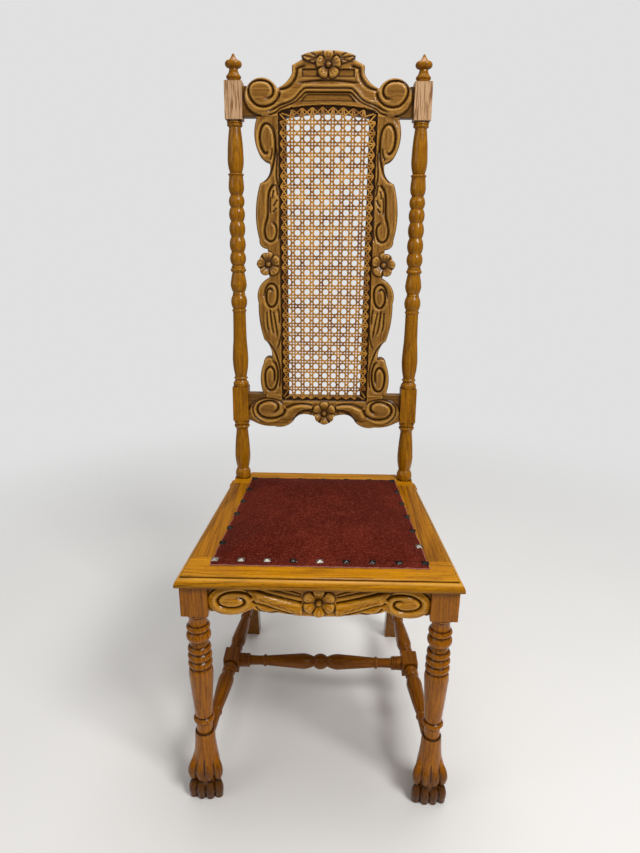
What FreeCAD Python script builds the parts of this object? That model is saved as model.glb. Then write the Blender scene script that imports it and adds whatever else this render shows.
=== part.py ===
import FreeCAD, Part
import math
import os
import re

# High-backed caned side chair in oak. All lengths are millimetres, +X is the
# sitter's left, +Y runs to the back and +Z up. The origin lies on the floor, at
# the middle of the chair's whole width and depth.

Vector = FreeCAD.Vector

# Driving dimensions. A name that ends in degrees is an angle and one that ends
# in count is a number of pieces. Every other one is a length.
DRIVING = (
    ("overall_depth", 511.0),
    ("seat_height", 467.0),
    ("seat_width_front", 461.0),
    ("seat_width_rear", 391.0),
    ("board_thickness", 19.0),
    ("front_board_depth", 66.0),
    ("side_board_width", 62.0),
    ("rear_board_depth", 57.0),
    ("rear_board_proud", 4.0),
    ("rear_corner_clip", 6.0),
    ("moulding_step", 2.0),
    ("moulding_round", 6.0),
    ("board_tenon_length", 14.0),
    ("board_tenon_width", 30.0),
    ("board_tenon_thickness", 7.0),
    ("front_overhang", 9.0),
    ("side_overhang", 6.0),
    ("leg_block", 45.0),
    ("leg_block_height", 58.5),
    ("toe_radius", 8.4),
    ("toe_height", 86.0),
    ("toe_spread", 46.0),
    ("toe_reach", 28.0),
    ("heel_radius", 17.0),
    ("heel_height", 30.0),
    ("heel_setback", 12.0),
    ("post_square", 32.0),
    ("rear_corner_overhang", 6.5),
    ("post_setback", 387.0),
    ("back_rake_degrees", 3.28),
    ("lower_block_start", 128.0),
    ("lower_block_length", 71.0),
    ("top_block_start", 703.0),
    ("top_block_length", 64.5),
    ("finial_length", 46.5),
    ("rail_thickness", 22.0),
    ("rail_height", 56.0),
    ("rail_setback", 3.0),
    ("rail_tenon_length", 16.0),
    ("rear_tenon_length", 12.0),
    ("rail_tenon_thickness", 9.0),
    ("rail_tenon_shoulder", 7.0),
    ("apron_relief", 3.0),
    ("apron_scroll_width", 72.0),
    ("apron_scroll_height", 42.0),
    ("stretcher_height", 106.0),
    ("stretcher_square", 32.0),
    ("stretcher_block_length", 40.0),
    ("stretcher_socket", 13.0),
    ("stretcher_tenon_radius", 8.0),
    ("back_board_thickness", 24.0),
    ("back_relief", 3.0),
    ("back_tenon_length", 14.0),
    ("back_tenon_thickness", 9.0),
    ("stile_tenon_length", 12.0),
    ("stile_tenon_width", 22.0),
    ("stile_width", 58.5),
    ("crest_height", 57.0),
    ("crest_peak", 56.0),
    ("crest_arch_rise", 8.0),
    ("crest_scroll_radius", 31.5),
    ("lower_rail_height", 54.0),
    ("lower_rail_belly", 15.5),
    ("volute_half_width", 17.0),
    ("volute_half_height", 38.0),
    ("flower_radius", 24.0),
    ("flower_height", 4.0),
    ("caned_width", 156.0),
    ("cane_ledge", 9.5),
    ("cane_recess", 3.5),
    ("cane_thickness", 2.2),
    ("cane_hole_radius", 5.8),
    ("cane_column_count", 9),
    ("cane_row_count", 29),
    ("pad_front_margin", 40.0),
    ("pad_rear_margin", 5.0),
    ("pad_side_margin_front", 50.5),
    ("pad_side_margin_rear", 43.0),
    ("pad_crown", 17.0),
    ("pad_shoulder", 34.0),
    ("cloth_thickness", 1.6),
    ("cloth_border_side", 11.0),
    ("cloth_border_front", 27.0),
    ("cloth_border_rear", 13.0),
    ("soft_gap", 0.3),
    ("webbing_width", 50.0),
    ("webbing_thickness", 1.5),
    ("webbing_lap", 14.0),
    ("webbing_strap_count", 3),
    ("hessian_thickness", 0.8),
    ("nail_head", 9.0),
    ("nail_head_height", 3.2),
    ("nail_shank_radius", 1.0),
    ("nail_length", 15.0),
    ("nail_inset_front", 17.0),
    ("nail_inset_side", 6.5),
    ("nail_inset_rear", 7.0),
    ("front_nail_count", 9),
    ("side_nail_count", 7),
    ("rear_nail_count", 7),
    ("corner_block_reach", 34.0),
    ("corner_block_height", 30.0),
    ("screw_radius", 2.0),
    ("screw_head_radius", 4.0),
    ("screw_head_height", 2.6),
    ("screw_bite", 12.0),
    ("glue_line", 0.1),
    ("overrun", 2.0),
)

# Worked out in the sheet from the driving dimensions.
DERIVED = (
    ("front_edge", "-overall_depth / 2"),
    ("leg_half", "leg_block / 2"),
    ("leg_x", "seat_width_front / 2 - side_overhang - leg_half"),
    ("leg_y", "front_edge + front_overhang + leg_half"),
    ("post_half", "post_square / 2"),
    ("post_x", "seat_width_rear / 2 - rear_corner_overhang - post_half"),
    ("post_inner", "post_x - post_half"),
    ("post_front", "front_edge + post_setback"),
    ("post_y", "post_front + post_half"),
    ("seat_underside", "seat_height - board_thickness"),
    ("rail_bottom", "seat_underside - rail_height"),
    ("rail_width_span", "2 * (leg_x - leg_half)"),
    ("front_board_end", "front_edge + front_board_depth"),
    ("rear_board_end", "post_front + post_square + rear_board_proud"),
    ("rear_board_start", "rear_board_end - rear_board_depth"),
    ("middle_start", "lower_block_start + lower_block_length"),
    ("top_block_end", "top_block_start + top_block_length"),
    ("crest_bottom", "top_block_start + (top_block_length - crest_height) * 2 / 3"),
    ("lower_rail_top", "lower_block_start + lower_block_length * 4 / 5"),
    ("opening_height", "crest_bottom - lower_rail_top"),
    ("opening_half", "caned_width / 2"),
    ("stretcher_radius", "stretcher_square / 2"),
    ("pad_front", "front_edge + pad_front_margin"),
    ("pad_rear", "post_front + pad_rear_margin"),
    ("pad_width_front", "seat_width_front - 2 * pad_side_margin_front"),
    ("pad_width_rear", "seat_width_rear - 2 * pad_side_margin_rear"),
)

NAMES = [row[0] for row in DRIVING + DERIVED]

# Turnings. Each row is (length, end radius) for a straight run or (length, end
# radius, middle radius) for an arc through its middle. Lengths are shares of the
# turning's own sum, and radii are shares of half the stock that it is turned from.
SEAT_TURNING_START_SHARE = 0.90
SEAT_TURNING_SHARES = (
    (22, 0.76, 1), (2, 0.78), (26, 1, 0.94), (53, 0.76, 0.92), (8, 0.86, 0.78),
    (6.5, 0.86, 1), (1.5, 0.9), (2, 0.99), (7, 0.99),
)
BACK_TURNING_START_SHARE = 0.97
BACK_TURNING_SHARES = (
    (7.4, 0.99), (6.3, 0.74, 0.82), (2, 0.78), (3.3, 0.78, 0.88), (1.5, 0.73),
    (34.8, 1, 0.92), (39.2, 0.85, 0.95), (55.5, 0.79, 0.81), (2.5, 0.82),
    (3.8, 0.82, 0.9), (1.7, 0.76), (27.5, 0.76, 1), (1.6, 0.78), (2.8, 0.71),
    (15.6, 1, 0.92), (23, 0.75, 0.9), (1, 0.82), (7.4, 0.82, 0.95), (3, 0.82),
    (2.4, 0.71), (25.3, 0.76, 0.98), (28.7, 0.75, 0.98), (28.6, 0.74, 0.97),
    (25.3, 0.73, 0.96), (22.3, 0.69, 0.94), (12.7, 0.92, 0.86), (18.7, 0.82, 0.89),
    (3.2, 0.84), (3.6, 0.84, 0.93), (1.2, 0.71), (22.3, 0.95, 0.89), (56.4, 0.68, 0.87),
    (1.9, 0.82), (4.3, 0.82, 0.91), (4.3, 0.82, 0.91), (1.8, 0.88),
)
FINIAL_START_SHARE = 0.73
FINIAL_SHARES = (
    (4.5, 0.74), (6.8, 0.71, 0.86), (10.3, 0.48, 0.55), (1.7, 0.67), (11, 0.78, 0.96),
    (0.8, 0.61), (7.4, 0.2, 0.34), (4, 0.08, 0.16),
)
# From the underside of the block down to the floor.
LEG_TURNING_START_SHARE = 0.93
LEG_TURNING_SHARES = (
    (21.5, 0.85, 0.91), (9, 0.78, 0.80), (1, 0.76), (7.5, 0.76, 0.83), (7.5, 0.76, 0.83),
    (2, 0.75), (23, 0.77, 0.91), (2, 0.75), (2.5, 0.80), (12.5, 0.80, 0.88), (1.5, 0.76),
    (20.5, 0.84, 0.93), (2, 0.76), (12, 0.92, 0.88), (18, 0.91, 0.925), (81, 0.62, 0.775),
    (2, 0.70), (16, 0.72, 0.83), (2, 0.71), (9, 0.71), (1, 0.79), (24, 0.84, 0.83),
    (42, 0.89, 0.86), (30, 1.10, 1.0), (40, 1.10),
)
TOE_START_SHARE = 0.80
TOE_SHARES = ((31, 0.78, 1.0), (3, 0.78), (34, 0.86, 1.0), (18, 0.30, 0.65))
HEEL_START_SHARE = 0.85
HEEL_SHARES = ((22, 0.90, 1.0), (8, 0.45, 0.72))
# From the square block outwards to the leg.
SIDE_STRETCHER_START_SHARE = 0.80
SIDE_STRETCHER_SHARES = (
    (1.5, 0.78), (8, 0.78, 0.88), (1.5, 0.74), (9.5, 0.74, 0.86), (2, 0.70),
    (18, 0.98, 0.90), (75, 0.64, 0.85), (1.5, 0.68), (5.5, 0.68, 0.78), (1.5, 0.66),
    (55, 0.66),
)
# From the middle outwards to the side stretcher's block.
CROSS_STRETCHER_START_SHARE = 1.0
CROSS_STRETCHER_SHARES = (
    (13.5, 0.66, 0.93), (1.5, 0.66), (21, 1.0, 0.90), (76, 0.64, 0.83), (2, 0.66),
    (6, 0.66, 0.78), (2, 0.60), (26, 0.64, 0.60), (1.5, 0.80), (4.5, 0.80, 0.90),
    (4.5, 0.80, 0.90), (1.5, 0.88), (11, 0.90),
)

doc = FreeCAD.newDocument("HighBackChair")
sheet = doc.addObject("Spreadsheet::Sheet", "Sizes")


def fill_sheet():
    """Write each named size into its own row of the sheet."""
    for row, (name, value) in enumerate(DRIVING + DERIVED, 1):
        text = "=" + value if isinstance(value, str) else str(value)
        sheet.set(f"A{row}", name)
        sheet.set(f"B{row}", text)
        sheet.setAlias(f"B{row}", name)
    doc.recompute()


fill_sheet()


def size(name):
    """Value of one named size."""
    return float(sheet.get(name))


def count(name):
    """Value of one named number of pieces."""
    return int(round(size(name)))


def bind(thing, path, formula):
    """Tie a property to a formula written with the names of the sheet."""
    linked = re.sub(r"[a-z_]+", lambda word: "Sizes." + word.group()
                    if word.group() in NAMES else word.group(), formula)
    thing.setExpression(path, linked)


def side_x(y):
    """Half width of the seat at one depth, on its straight slanted side."""
    slope = (size("seat_width_rear") - size("seat_width_front")) / 2 / size("post_setback")
    return size("seat_width_front") / 2 + slope * (y - size("front_edge"))


BACK_FRAME = FreeCAD.Placement(
    Vector(0, size("post_y"), size("seat_height")),
    FreeCAD.Rotation(Vector(1, 0, 0), -size("back_rake_degrees")))


def lines(points, closed=True):
    """Straight edges through flat points."""
    last = len(points) if closed else len(points) - 1
    return [Part.LineSegment(Vector(*points[i]), Vector(*points[(i + 1) % len(points)]))
            for i in range(last)]


def path(start, steps):
    """Edges from start through steps: (x, y) is a straight run to that point and
    (x, y, mx, my) an arc to (x, y) through (mx, my)."""
    edges = []
    here = Vector(*start)
    for step in steps:
        end = Vector(step[0], step[1])
        if len(step) == 4:
            edges.append(Part.Arc(here, Vector(step[2], step[3]), end))
        elif here.distanceToPoint(end) > 0:
            edges.append(Part.LineSegment(here, end))
        here = end
    return edges


def mirrored_steps(start, steps):
    """The way back along the mirror image of a path, from its mirrored end."""
    points = [start] + [step[:2] for step in steps]
    back = []
    for i in range(len(steps) - 1, -1, -1):
        target = points[i]
        step = steps[i]
        middle = (-step[2], step[3]) if len(step) == 4 else ()
        back.append((-target[0], target[1]) + middle)
    return back


def body_sketch(body, role, name, edges, lift=0.0):
    """Sketch on one of the body's own origin planes, lifted along its normal."""
    sketch = body.newObject("Sketcher::SketchObject", name)
    base = [feature for feature in body.Origin.OriginFeatures if feature.Role == role][0]
    sketch.AttachmentSupport = [(base, "")]
    sketch.MapMode = "FlatFace"
    sketch.AttachmentOffset = FreeCAD.Placement(Vector(0, 0, lift), FreeCAD.Rotation())
    for edge in edges:
        sketch.addGeometry(edge, False)
    return sketch


def new_body(name):
    """Empty body."""
    return doc.addObject("PartDesign::Body", name)


def add_pad(body, role, name, edges, length, lift=0.0, backwards=False):
    """Pad a sketch by a bound length, forwards along its plane's normal or back."""
    sketch = body_sketch(body, role, name + "_outline", edges, lift)
    pad = body.newObject("PartDesign::Pad", name)
    pad.Profile = sketch
    pad.Reversed = backwards
    bind(pad, "Length", length)
    sketch.Visibility = False
    return pad


def turned_outline(start, length, radius, start_share, table, sign=1):
    """Steps of a turning's side, from height start, as (radius, height) points."""
    scale = length / sum(row[0] for row in table)
    height = start
    steps = []
    for row in table:
        rise = row[0] * scale * sign
        step = (row[1] * radius, height + rise)
        if len(row) == 3:
            step += (row[2] * radius, height + rise / 2)
        steps.append(step)
        height += rise
    return (start_share * radius, start), steps


def add_turning(body, name, bottom, top, start, steps):
    """Revolve a side outline about the body's own Z axis."""
    edges = path((0, bottom), [start] + steps + [(0, top), (0, bottom)])
    sketch = body_sketch(body, "XZ_Plane", name + "_profile", edges)
    turning = body.newObject("PartDesign::Revolution", name)
    turning.Profile = sketch
    turning.ReferenceAxis = (sketch, ["V_Axis"])
    turning.Angle = 360
    sketch.Visibility = False
    return turning


def box(name, length, width, height, x, y, z):
    """Box whose sizes and low corner are formulas of the sheet."""
    block = doc.addObject("Part::Box", name)
    for key, formula in (("Length", length), ("Width", width), ("Height", height),
                         ("Placement.Base.x", x), ("Placement.Base.y", y),
                         ("Placement.Base.z", z)):
        bind(block, key, formula)
    return block


def cylinder(name, radius, height, place, direction=Vector(0, 0, 1)):
    """Cylinder from a point along a direction."""
    rod = doc.addObject("Part::Cylinder", name)
    bind(rod, "Radius", radius)
    bind(rod, "Height", height)
    rod.Placement = FreeCAD.Placement(place, FreeCAD.Rotation(Vector(0, 0, 1), direction))
    return rod


def fuse(name, things):
    """Union of two or more objects."""
    union = doc.addObject("Part::MultiFuse", name)
    union.Shapes = things
    union.Refine = True
    return union


def cut(name, base, tools):
    """Base less all tools."""
    tool = tools[0] if len(tools) == 1 else fuse(name + "_tools", tools)
    rest = doc.addObject("Part::Cut", name)
    rest.Base = base
    rest.Tool = tool
    return rest


def signed(side, name):
    """Formula of a name on one side of the middle plane."""
    return name if side > 0 else f"-({name})"


def low_x(side, near, far):
    """Formula of the lower x of a span that runs from near to far on one side."""
    return near if side > 0 else f"-({far})"


SIDES = ((-1, "left"), (1, "right"))
subparts = []


def keep(thing, label, placement=None):
    """Name a finished sub-part and list it for writing."""
    thing.Label = label
    if placement is not None:
        thing.Placement = placement
    subparts.append(thing)
    return thing


def apron_tenon(side, ease, name):
    """Tenon of the front rail in a leg's block, or its mortise when eased."""
    e = f"({ease})"
    return box(name, f"rail_tenon_length + {e}", f"rail_tenon_thickness + 2 * {e}",
               f"rail_height - 2 * rail_tenon_shoulder + 2 * {e}",
               low_x(side, "leg_x - leg_half", f"leg_x - leg_half + rail_tenon_length + {e}"),
               f"leg_y - rail_tenon_thickness / 2 - {e}",
               f"rail_bottom + rail_tenon_shoulder - {e}")


SIDE_RAIL_FRONT = "leg_x + leg_half - rail_setback - rail_thickness / 2"
SIDE_RAIL_REAR = "post_x + post_half - rail_setback - rail_thickness / 2"


def side_rail_tenon(side, end, ease, name):
    """Tenon of a side rail, front or rear, or its mortise when eased."""
    e = f"({ease})"
    middle = SIDE_RAIL_FRONT if end == "front" else SIDE_RAIL_REAR
    low_y = (f"leg_y + leg_half - rail_tenon_length - {e}" if end == "front"
             else "post_front")
    return box(name, f"rail_tenon_thickness + 2 * {e}", f"rail_tenon_length + {e}",
               f"rail_height - 2 * rail_tenon_shoulder + 2 * {e}",
               f"{signed(side, middle)} - rail_tenon_thickness / 2 - {e}",
               low_y, f"rail_bottom + rail_tenon_shoulder - {e}")


def rear_rail_tenon(side, ease, name):
    """Tenon of the rear rail in a post, or its mortise when eased."""
    e = f"({ease})"
    return box(name, f"rear_tenon_length + {e}", f"rail_tenon_thickness + 2 * {e}",
               f"rail_height - 2 * rail_tenon_shoulder + 2 * {e}",
               low_x(side, "post_inner", f"post_inner + rear_tenon_length + {e}"),
               f"post_y - rail_tenon_thickness / 2 - {e}",
               f"rail_bottom + rail_tenon_shoulder - {e}")


def rear_leg_front(z):
    """Depth of the raked rear leg's front face at one height."""
    kick = size("overall_depth") / 2 - size("post_front") - size("post_square")
    share = (size("rail_bottom") - z) / size("rail_bottom")
    return size("post_front") + kick * max(0.0, share)


def stretcher_line(side):
    """Ends of a side stretcher's axis: centre of the front leg, centre of the rear."""
    z = size("stretcher_height")
    front = Vector(side * size("leg_x"), size("leg_y"), z)
    rear = Vector(side * size("post_x"), rear_leg_front(z) + size("post_half"), z)
    return front, rear


def stretcher_socket(side, end, name):
    """Round hole for a side stretcher's end in a leg."""
    front, rear = stretcher_line(side)
    along = (rear - front).normalize()
    depth = size("stretcher_socket") + size("overrun")
    share = SIDE_STRETCHER_SHARES[-1][1]
    radius = f"stretcher_radius * {share} + glue_line"
    if end == "front":
        face = size("leg_half")
        start = front + along * (face - size("stretcher_socket"))
        return cylinder(name, radius, "leg_block", start, along)
    face = rear - along * (size("post_half") - depth)
    return cylinder(name, radius, "leg_block", face, along * -1)


def front_leg(side, word):
    """Front leg: square block, turned shaft, ankle and a paw with four toes."""
    name = "front_leg_" + word
    block_bottom = size("seat_underside") - size("leg_block_height")
    start, steps = turned_outline(block_bottom, block_bottom, size("leg_half"),
                                  LEG_TURNING_START_SHARE, LEG_TURNING_SHARES, -1)
    shaft = new_body(name + "_shaft")
    add_turning(shaft, name + "_turning", block_bottom, 0, start, steps)
    shaft.Placement.Base = Vector(side * size("leg_x"), size("leg_y"), 0)
    block = box(name + "_block", "leg_block", "leg_block", "leg_block_height",
                f"{signed(side, 'leg_x')} - leg_half", "leg_y - leg_half",
                "seat_underside - leg_block_height")
    pieces = [shaft, block]
    toe_count = 4
    for i in range(toe_count):
        share = i / (toe_count - 1) * 2 - 1
        x = side * size("leg_x") + share * size("toe_spread") / 2
        back = share * share * size("toe_radius") / 2
        y = size("leg_y") - size("toe_reach") + size("toe_radius") + back
        start, steps = turned_outline(0, size("toe_height"), size("toe_radius"),
                                      TOE_START_SHARE, TOE_SHARES)
        toe = new_body(f"{name}_toe_{i + 1}")
        add_turning(toe, f"{name}_toe_turning_{i + 1}", 0, size("toe_height"), start, steps)
        toe.Placement.Base = Vector(x, y, 0)
        pieces.append(toe)
    start, steps = turned_outline(0, size("heel_height"), size("heel_radius"),
                                  HEEL_START_SHARE, HEEL_SHARES)
    heel = new_body(name + "_heel")
    add_turning(heel, name + "_heel_turning", 0, size("heel_height"), start, steps)
    heel.Placement.Base = Vector(side * size("leg_x"), size("leg_y") + size("heel_setback"), 0)
    pieces.append(heel)
    whole = fuse(name + "_whole", pieces)
    leg = cut(name, whole, [
        apron_tenon(side, "glue_line", name + "_apron_mortise"),
        side_rail_tenon(side, "front", "glue_line", name + "_rail_mortise"),
        stretcher_socket(side, "front", name + "_socket")])
    keep(leg, name)


def back_tenon(side, bottom, height, ease, name):
    """Tenon of a cross rail of the back in a post, or its mortise when eased."""
    e = f"({ease})"
    return box(name, f"back_tenon_length + {e}", f"back_tenon_thickness + 2 * {e}",
               f"{height} - 2 * rail_tenon_shoulder + 2 * {e}",
               low_x(side, "post_inner", f"post_inner + back_tenon_length + {e}"),
               f"-back_tenon_thickness / 2 - {e}",
               f"{bottom} + rail_tenon_shoulder - {e}")


CREST_TENON = ("crest_bottom", "crest_height")
LOWER_TENON = ("lower_rail_top - lower_rail_height", "lower_rail_height")


def rear_post(side, word):
    """Back post and rear leg in one length of oak: turned above the seat, with two
    square blocks for the cross rails, and sawn square and raked below."""
    name = "rear_post_" + word
    half = size("post_half")
    sunk = size("overrun")
    start, steps = turned_outline(-sunk, size("lower_block_start") + sunk, half,
                                  SEAT_TURNING_START_SHARE, SEAT_TURNING_SHARES)
    inside = BACK_TURNING_START_SHARE * half
    steps.append((inside, size("middle_start")))
    length = size("top_block_start") - size("middle_start")
    steps += turned_outline(size("middle_start"), length, half,
                            BACK_TURNING_START_SHARE, BACK_TURNING_SHARES)[1]
    finial_start, finial = turned_outline(size("top_block_end"), size("finial_length"), half,
                                          FINIAL_START_SHARE, FINIAL_SHARES)
    steps.append((finial_start[0], size("top_block_end")))
    steps += finial
    root = -size("board_thickness") / 2
    column = new_body(name + "_column")
    edges_top = size("top_block_end") + size("finial_length")
    add_turning(column, name + "_turning", root, edges_top, (start[0], root), [start] + steps)
    column.Placement.Base = Vector(side * size("post_x"), 0, 0)
    blocks = []
    for key, low, high in (("lower", "lower_block_start", "lower_block_length"),
                           ("top", "top_block_start", "top_block_length")):
        blocks.append(box(f"{name}_{key}_block", "post_square", "post_square", high,
                          f"{signed(side, 'post_x')} - post_half", "-post_half", low))
    upper = fuse(name + "_upper", [column] + blocks)
    upper_cut = cut(name + "_back", upper, [
        back_tenon(side, *CREST_TENON, "glue_line", name + "_crest_mortise"),
        back_tenon(side, *LOWER_TENON, "glue_line", name + "_lower_mortise")])
    upper_cut.Placement = BACK_FRAME
    front = size("post_front")
    depth = size("post_square")
    foot = size("overall_depth") / 2 - depth
    leg = new_body(name + "_leg")
    outline = lines([(foot, 0), (foot + depth, 0), (front + depth, size("rail_bottom")),
                     (front + depth, size("seat_height")), (front, size("seat_height")),
                     (front, size("rail_bottom"))])
    add_pad(leg, "YZ_Plane", name + "_leg_pad", outline, "post_square")
    leg.Placement.Base = Vector(side * size("post_x") - half, 0, 0)
    lower_cut = cut(name + "_lower", leg, [
        side_rail_tenon(side, "rear", "glue_line", name + "_side_mortise"),
        rear_rail_tenon(side, "glue_line", name + "_rear_mortise"),
        stretcher_socket(side, "rear", name + "_socket")])
    keep(fuse(name, [upper_cut, lower_cut]), name)


def apron():
    """Front seat rail with a shallow bow below and a scroll at each end."""
    span = size("rail_width_span") / 2
    top = size("rail_height")
    lobe = size("apron_scroll_width")
    start = (span, top)
    # The lower edge, as shares of the half span and of the rail's height.
    steps = [(span, top * 0.09),
             (span - lobe, top * 0.17, span - lobe * 0.46, -top * 0.055),
             (span * 0.37, top * 0.05, span * 0.49, top * 0.035),
             (-span * 0.37, top * 0.05, 0, -top * 0.055)]
    steps += [(-span + lobe, top * 0.17, -span * 0.49, top * 0.035),
              (-span, top * 0.09, -span + lobe * 0.46, -top * 0.055),
              (-span, top), (span, top)]
    board = new_body("seat_rail_front_board")
    add_pad(board, "XZ_Plane", "apron_pad", path(start, steps), "rail_thickness",
            backwards=True)
    half_width = lobe * 0.48
    half_height = size("apron_scroll_height") / 2
    for side, word in SIDES:
        centre = Vector(side * (span - lobe / 2), top * 0.02 + half_height)
        ring = Part.Ellipse(centre, half_width, half_height)
        add_pad(board, "XZ_Plane", "apron_scroll_" + word, [ring], "apron_relief")
    flower = flower_outline(0, top * 0.47, size("flower_radius") * 1.1, 6)
    add_pad(board, "XZ_Plane", "apron_flower", flower, "flower_height")
    front = size("leg_y") - size("leg_half") + size("rail_setback") + size("apron_relief")
    board.Placement.Base = Vector(0, front, size("rail_bottom"))
    tenons = [apron_tenon(side, "glue_line * 0", "apron_tenon_" + word)
              for side, word in SIDES]
    keep(fuse("seat_rail_front", [board] + tenons), "seat_rail_front")


def flower_outline(x, y, radius, petals):
    """Closed ring of round petals: each is an arc between two notches."""
    notch = 0.80
    edges = []
    step = 2 * math.pi / petals
    for i in range(petals):
        points = []
        for turn, share in ((i - 0.5, notch), (i, 1.0), (i + 0.5, notch)):
            angle = math.pi / 2 + turn * step
            points.append(Vector(x + radius * share * math.cos(angle),
                                 y + radius * share * math.sin(angle)))
        edges.append(Part.Arc(*points))
    return edges


def side_rail(side, word):
    """Plain side seat rail, slanted in plan between leg block and post."""
    name = "seat_rail_" + word
    half = size("rail_thickness") / 2
    front_x = size("leg_x") + size("leg_half") - size("rail_setback") - half
    rear_x = size("post_x") + size("post_half") - size("rail_setback") - half
    front_y = size("leg_y") + size("leg_half")
    rear_y = size("post_front")
    outline = lines([(side * (front_x - half), front_y), (side * (front_x + half), front_y),
                     (side * (rear_x + half), rear_y), (side * (rear_x - half), rear_y)])
    board = new_body(name + "_board")
    add_pad(board, "XY_Plane", name + "_pad", outline, "rail_height")
    board.Placement.Base = Vector(0, 0, size("rail_bottom"))
    tenons = [side_rail_tenon(side, end, "glue_line * 0", f"{name}_{end}_tenon")
              for end in ("front", "rear")]
    keep(fuse(name, [board] + tenons), name)


def rear_rail():
    """Plain rear seat rail between the posts."""
    board = box("seat_rail_rear_board", "2 * post_inner", "rail_thickness", "rail_height",
                "-post_inner", "post_y - rail_thickness / 2", "rail_bottom")
    tenons = [rear_rail_tenon(side, "glue_line * 0", "rear_rail_tenon_" + word)
              for side, word in SIDES]
    keep(fuse("seat_rail_rear", [board] + tenons), "seat_rail_rear")


def stretcher_block_y():
    """Depth of the side stretchers' square blocks: half way along their axes."""
    front, rear = stretcher_line(1)
    return (front.y + size("leg_half") + rear.y - size("post_half")) / 2


def side_stretcher(side, word):
    """Turned side stretcher with a square block for the cross stretcher."""
    name = "side_stretcher_" + word
    front, rear = stretcher_line(side)
    along = (rear - front).normalize()
    block_y = stretcher_block_y()
    centre = front + along * ((block_y - front.y) / along.y)
    half_block = size("stretcher_block_length") / 2
    turned = new_body(name + "_turned")
    for key, sign, leg, bite in (("front", -1, front, size("leg_half")),
                                 ("rear", 1, rear, size("post_half"))):
        reach = (leg - centre).Length - bite + size("stretcher_socket") - size("overrun")
        start, steps = turned_outline(sign * half_block, reach - half_block,
                                      size("stretcher_radius"), SIDE_STRETCHER_START_SHARE,
                                      SIDE_STRETCHER_SHARES, sign)
        add_turning(turned, f"{name}_{key}_turning", 0, sign * reach,
                    (start[0], 0), [start] + steps)
    turned.Placement = FreeCAD.Placement(centre, FreeCAD.Rotation(Vector(0, 0, 1), along))
    block = box(name + "_block", "stretcher_square", "stretcher_block_length",
                "stretcher_square", "0 mm", "0 mm", "stretcher_height - stretcher_radius")
    for key in ("Placement.Base.x", "Placement.Base.y"):
        block.setExpression(key, None)
    block.Placement.Base = Vector(centre.x - size("stretcher_radius"),
                                  centre.y - half_block,
                                  size("stretcher_height") - size("stretcher_radius"))
    whole = fuse(name + "_whole", [turned, block])
    face = centre.x - side * size("stretcher_radius")
    hole = cylinder(name + "_mortise", "stretcher_tenon_radius + glue_line",
                    "stretcher_socket + overrun + glue_line",
                    Vector(face - side * size("overrun"), centre.y, centre.z),
                    Vector(side, 0, 0))
    keep(cut(name, whole, [hole]), name)
    return abs(face), centre.y


def cross_stretcher(half_length, y):
    """Turned cross stretcher between the two side stretchers."""
    body = new_body("cross_stretcher_turned")
    for key, sign in (("left", -1), ("right", 1)):
        start, steps = turned_outline(0, half_length, size("stretcher_radius"),
                                      CROSS_STRETCHER_START_SHARE, CROSS_STRETCHER_SHARES,
                                      sign)
        tenon = size("stretcher_tenon_radius")
        end = sign * (half_length + size("stretcher_socket"))
        steps += [(tenon, sign * half_length), (tenon, end)]
        add_turning(body, f"cross_stretcher_{key}_turning", 0, end, start, steps)
    place = Vector(0, y, size("stretcher_height"))
    keep(body, "cross_stretcher",
         FreeCAD.Placement(place, FreeCAD.Rotation(Vector(0, 0, 1), Vector(1, 0, 0))))


def nail_places():
    """Centres of the upholstery nails, one list for each side of the seat."""
    front_y = size("pad_front") + size("nail_inset_front")
    rear_y = size("pad_rear") - size("nail_inset_rear")
    front_x = size("pad_width_front") / 2 - size("nail_inset_side")
    rear_x = size("pad_width_rear") / 2 - size("nail_inset_side")
    sides = count("side_nail_count") - 1
    front = count("front_nail_count") - 1
    rear = count("rear_nail_count") - 1
    places = {
        "front": [(front_x * (2 * i / front - 1), front_y) for i in range(front + 1)],
        "rear": [(rear_x * (2 * i / rear - 1), rear_y) for i in range(1, rear)]}
    for side, word in SIDES:
        places[word] = [(side * (front_x + (rear_x - front_x) * i / sides),
                         front_y + (rear_y - front_y) * i / sides)
                        for i in range(1, sides + 1)]
    return places


def nail_holes(name, wanted):
    """Shank holes through cloth and wood at the wanted places."""
    holes = []
    for i, (x, y) in enumerate(wanted):
        low = size("seat_height") - size("nail_length") - size("overrun")
        holes.append(cylinder(f"{name}_hole_{i + 1}", "nail_shank_radius + glue_line / 2",
                              "nail_length + board_thickness", Vector(x, y, low)))
    return holes


def seat_nails(word, places):
    """One row of square-headed upholstery nails, each with a low pyramid head."""
    nails = []
    half = size("nail_head") / 2
    for i, (x, y) in enumerate(places):
        name = f"nails_{word}_{i + 1}"
        head = new_body(name)
        corners = [(-half, -half), (half, -half), (half, half), (-half, half)]
        base = body_sketch(head, "XY_Plane", name + "_base", lines(corners))
        tip_half = half * 0.18
        tips = [(-tip_half, -tip_half), (tip_half, -tip_half), (tip_half, tip_half),
                (-tip_half, tip_half)]
        tip = body_sketch(head, "XY_Plane", name + "_tip", lines(tips),
                          size("nail_head_height"))
        pyramid = head.newObject("PartDesign::AdditiveLoft", name + "_pyramid")
        pyramid.Profile = base
        pyramid.Sections = [tip]
        shank = head.newObject("PartDesign::AdditiveCylinder", name + "_shank")
        bind(shank, "Radius", "nail_shank_radius")
        bind(shank, "Height", "nail_length")
        shank.AttachmentOffset.Base = Vector(0, 0, -size("nail_length"))
        xy = [f for f in head.Origin.OriginFeatures if f.Role == "XY_Plane"][0]
        shank.AttachmentSupport = [(xy, "")]
        shank.MapMode = "FlatFace"
        head.Placement.Base = Vector(x, y, size("seat_height") + size("cloth_thickness"))
        nails.append(head)
    group = doc.addObject("Part::Compound", "nails_" + word)
    group.Links = nails
    keep(group, "seat_nails_" + word)


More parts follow.
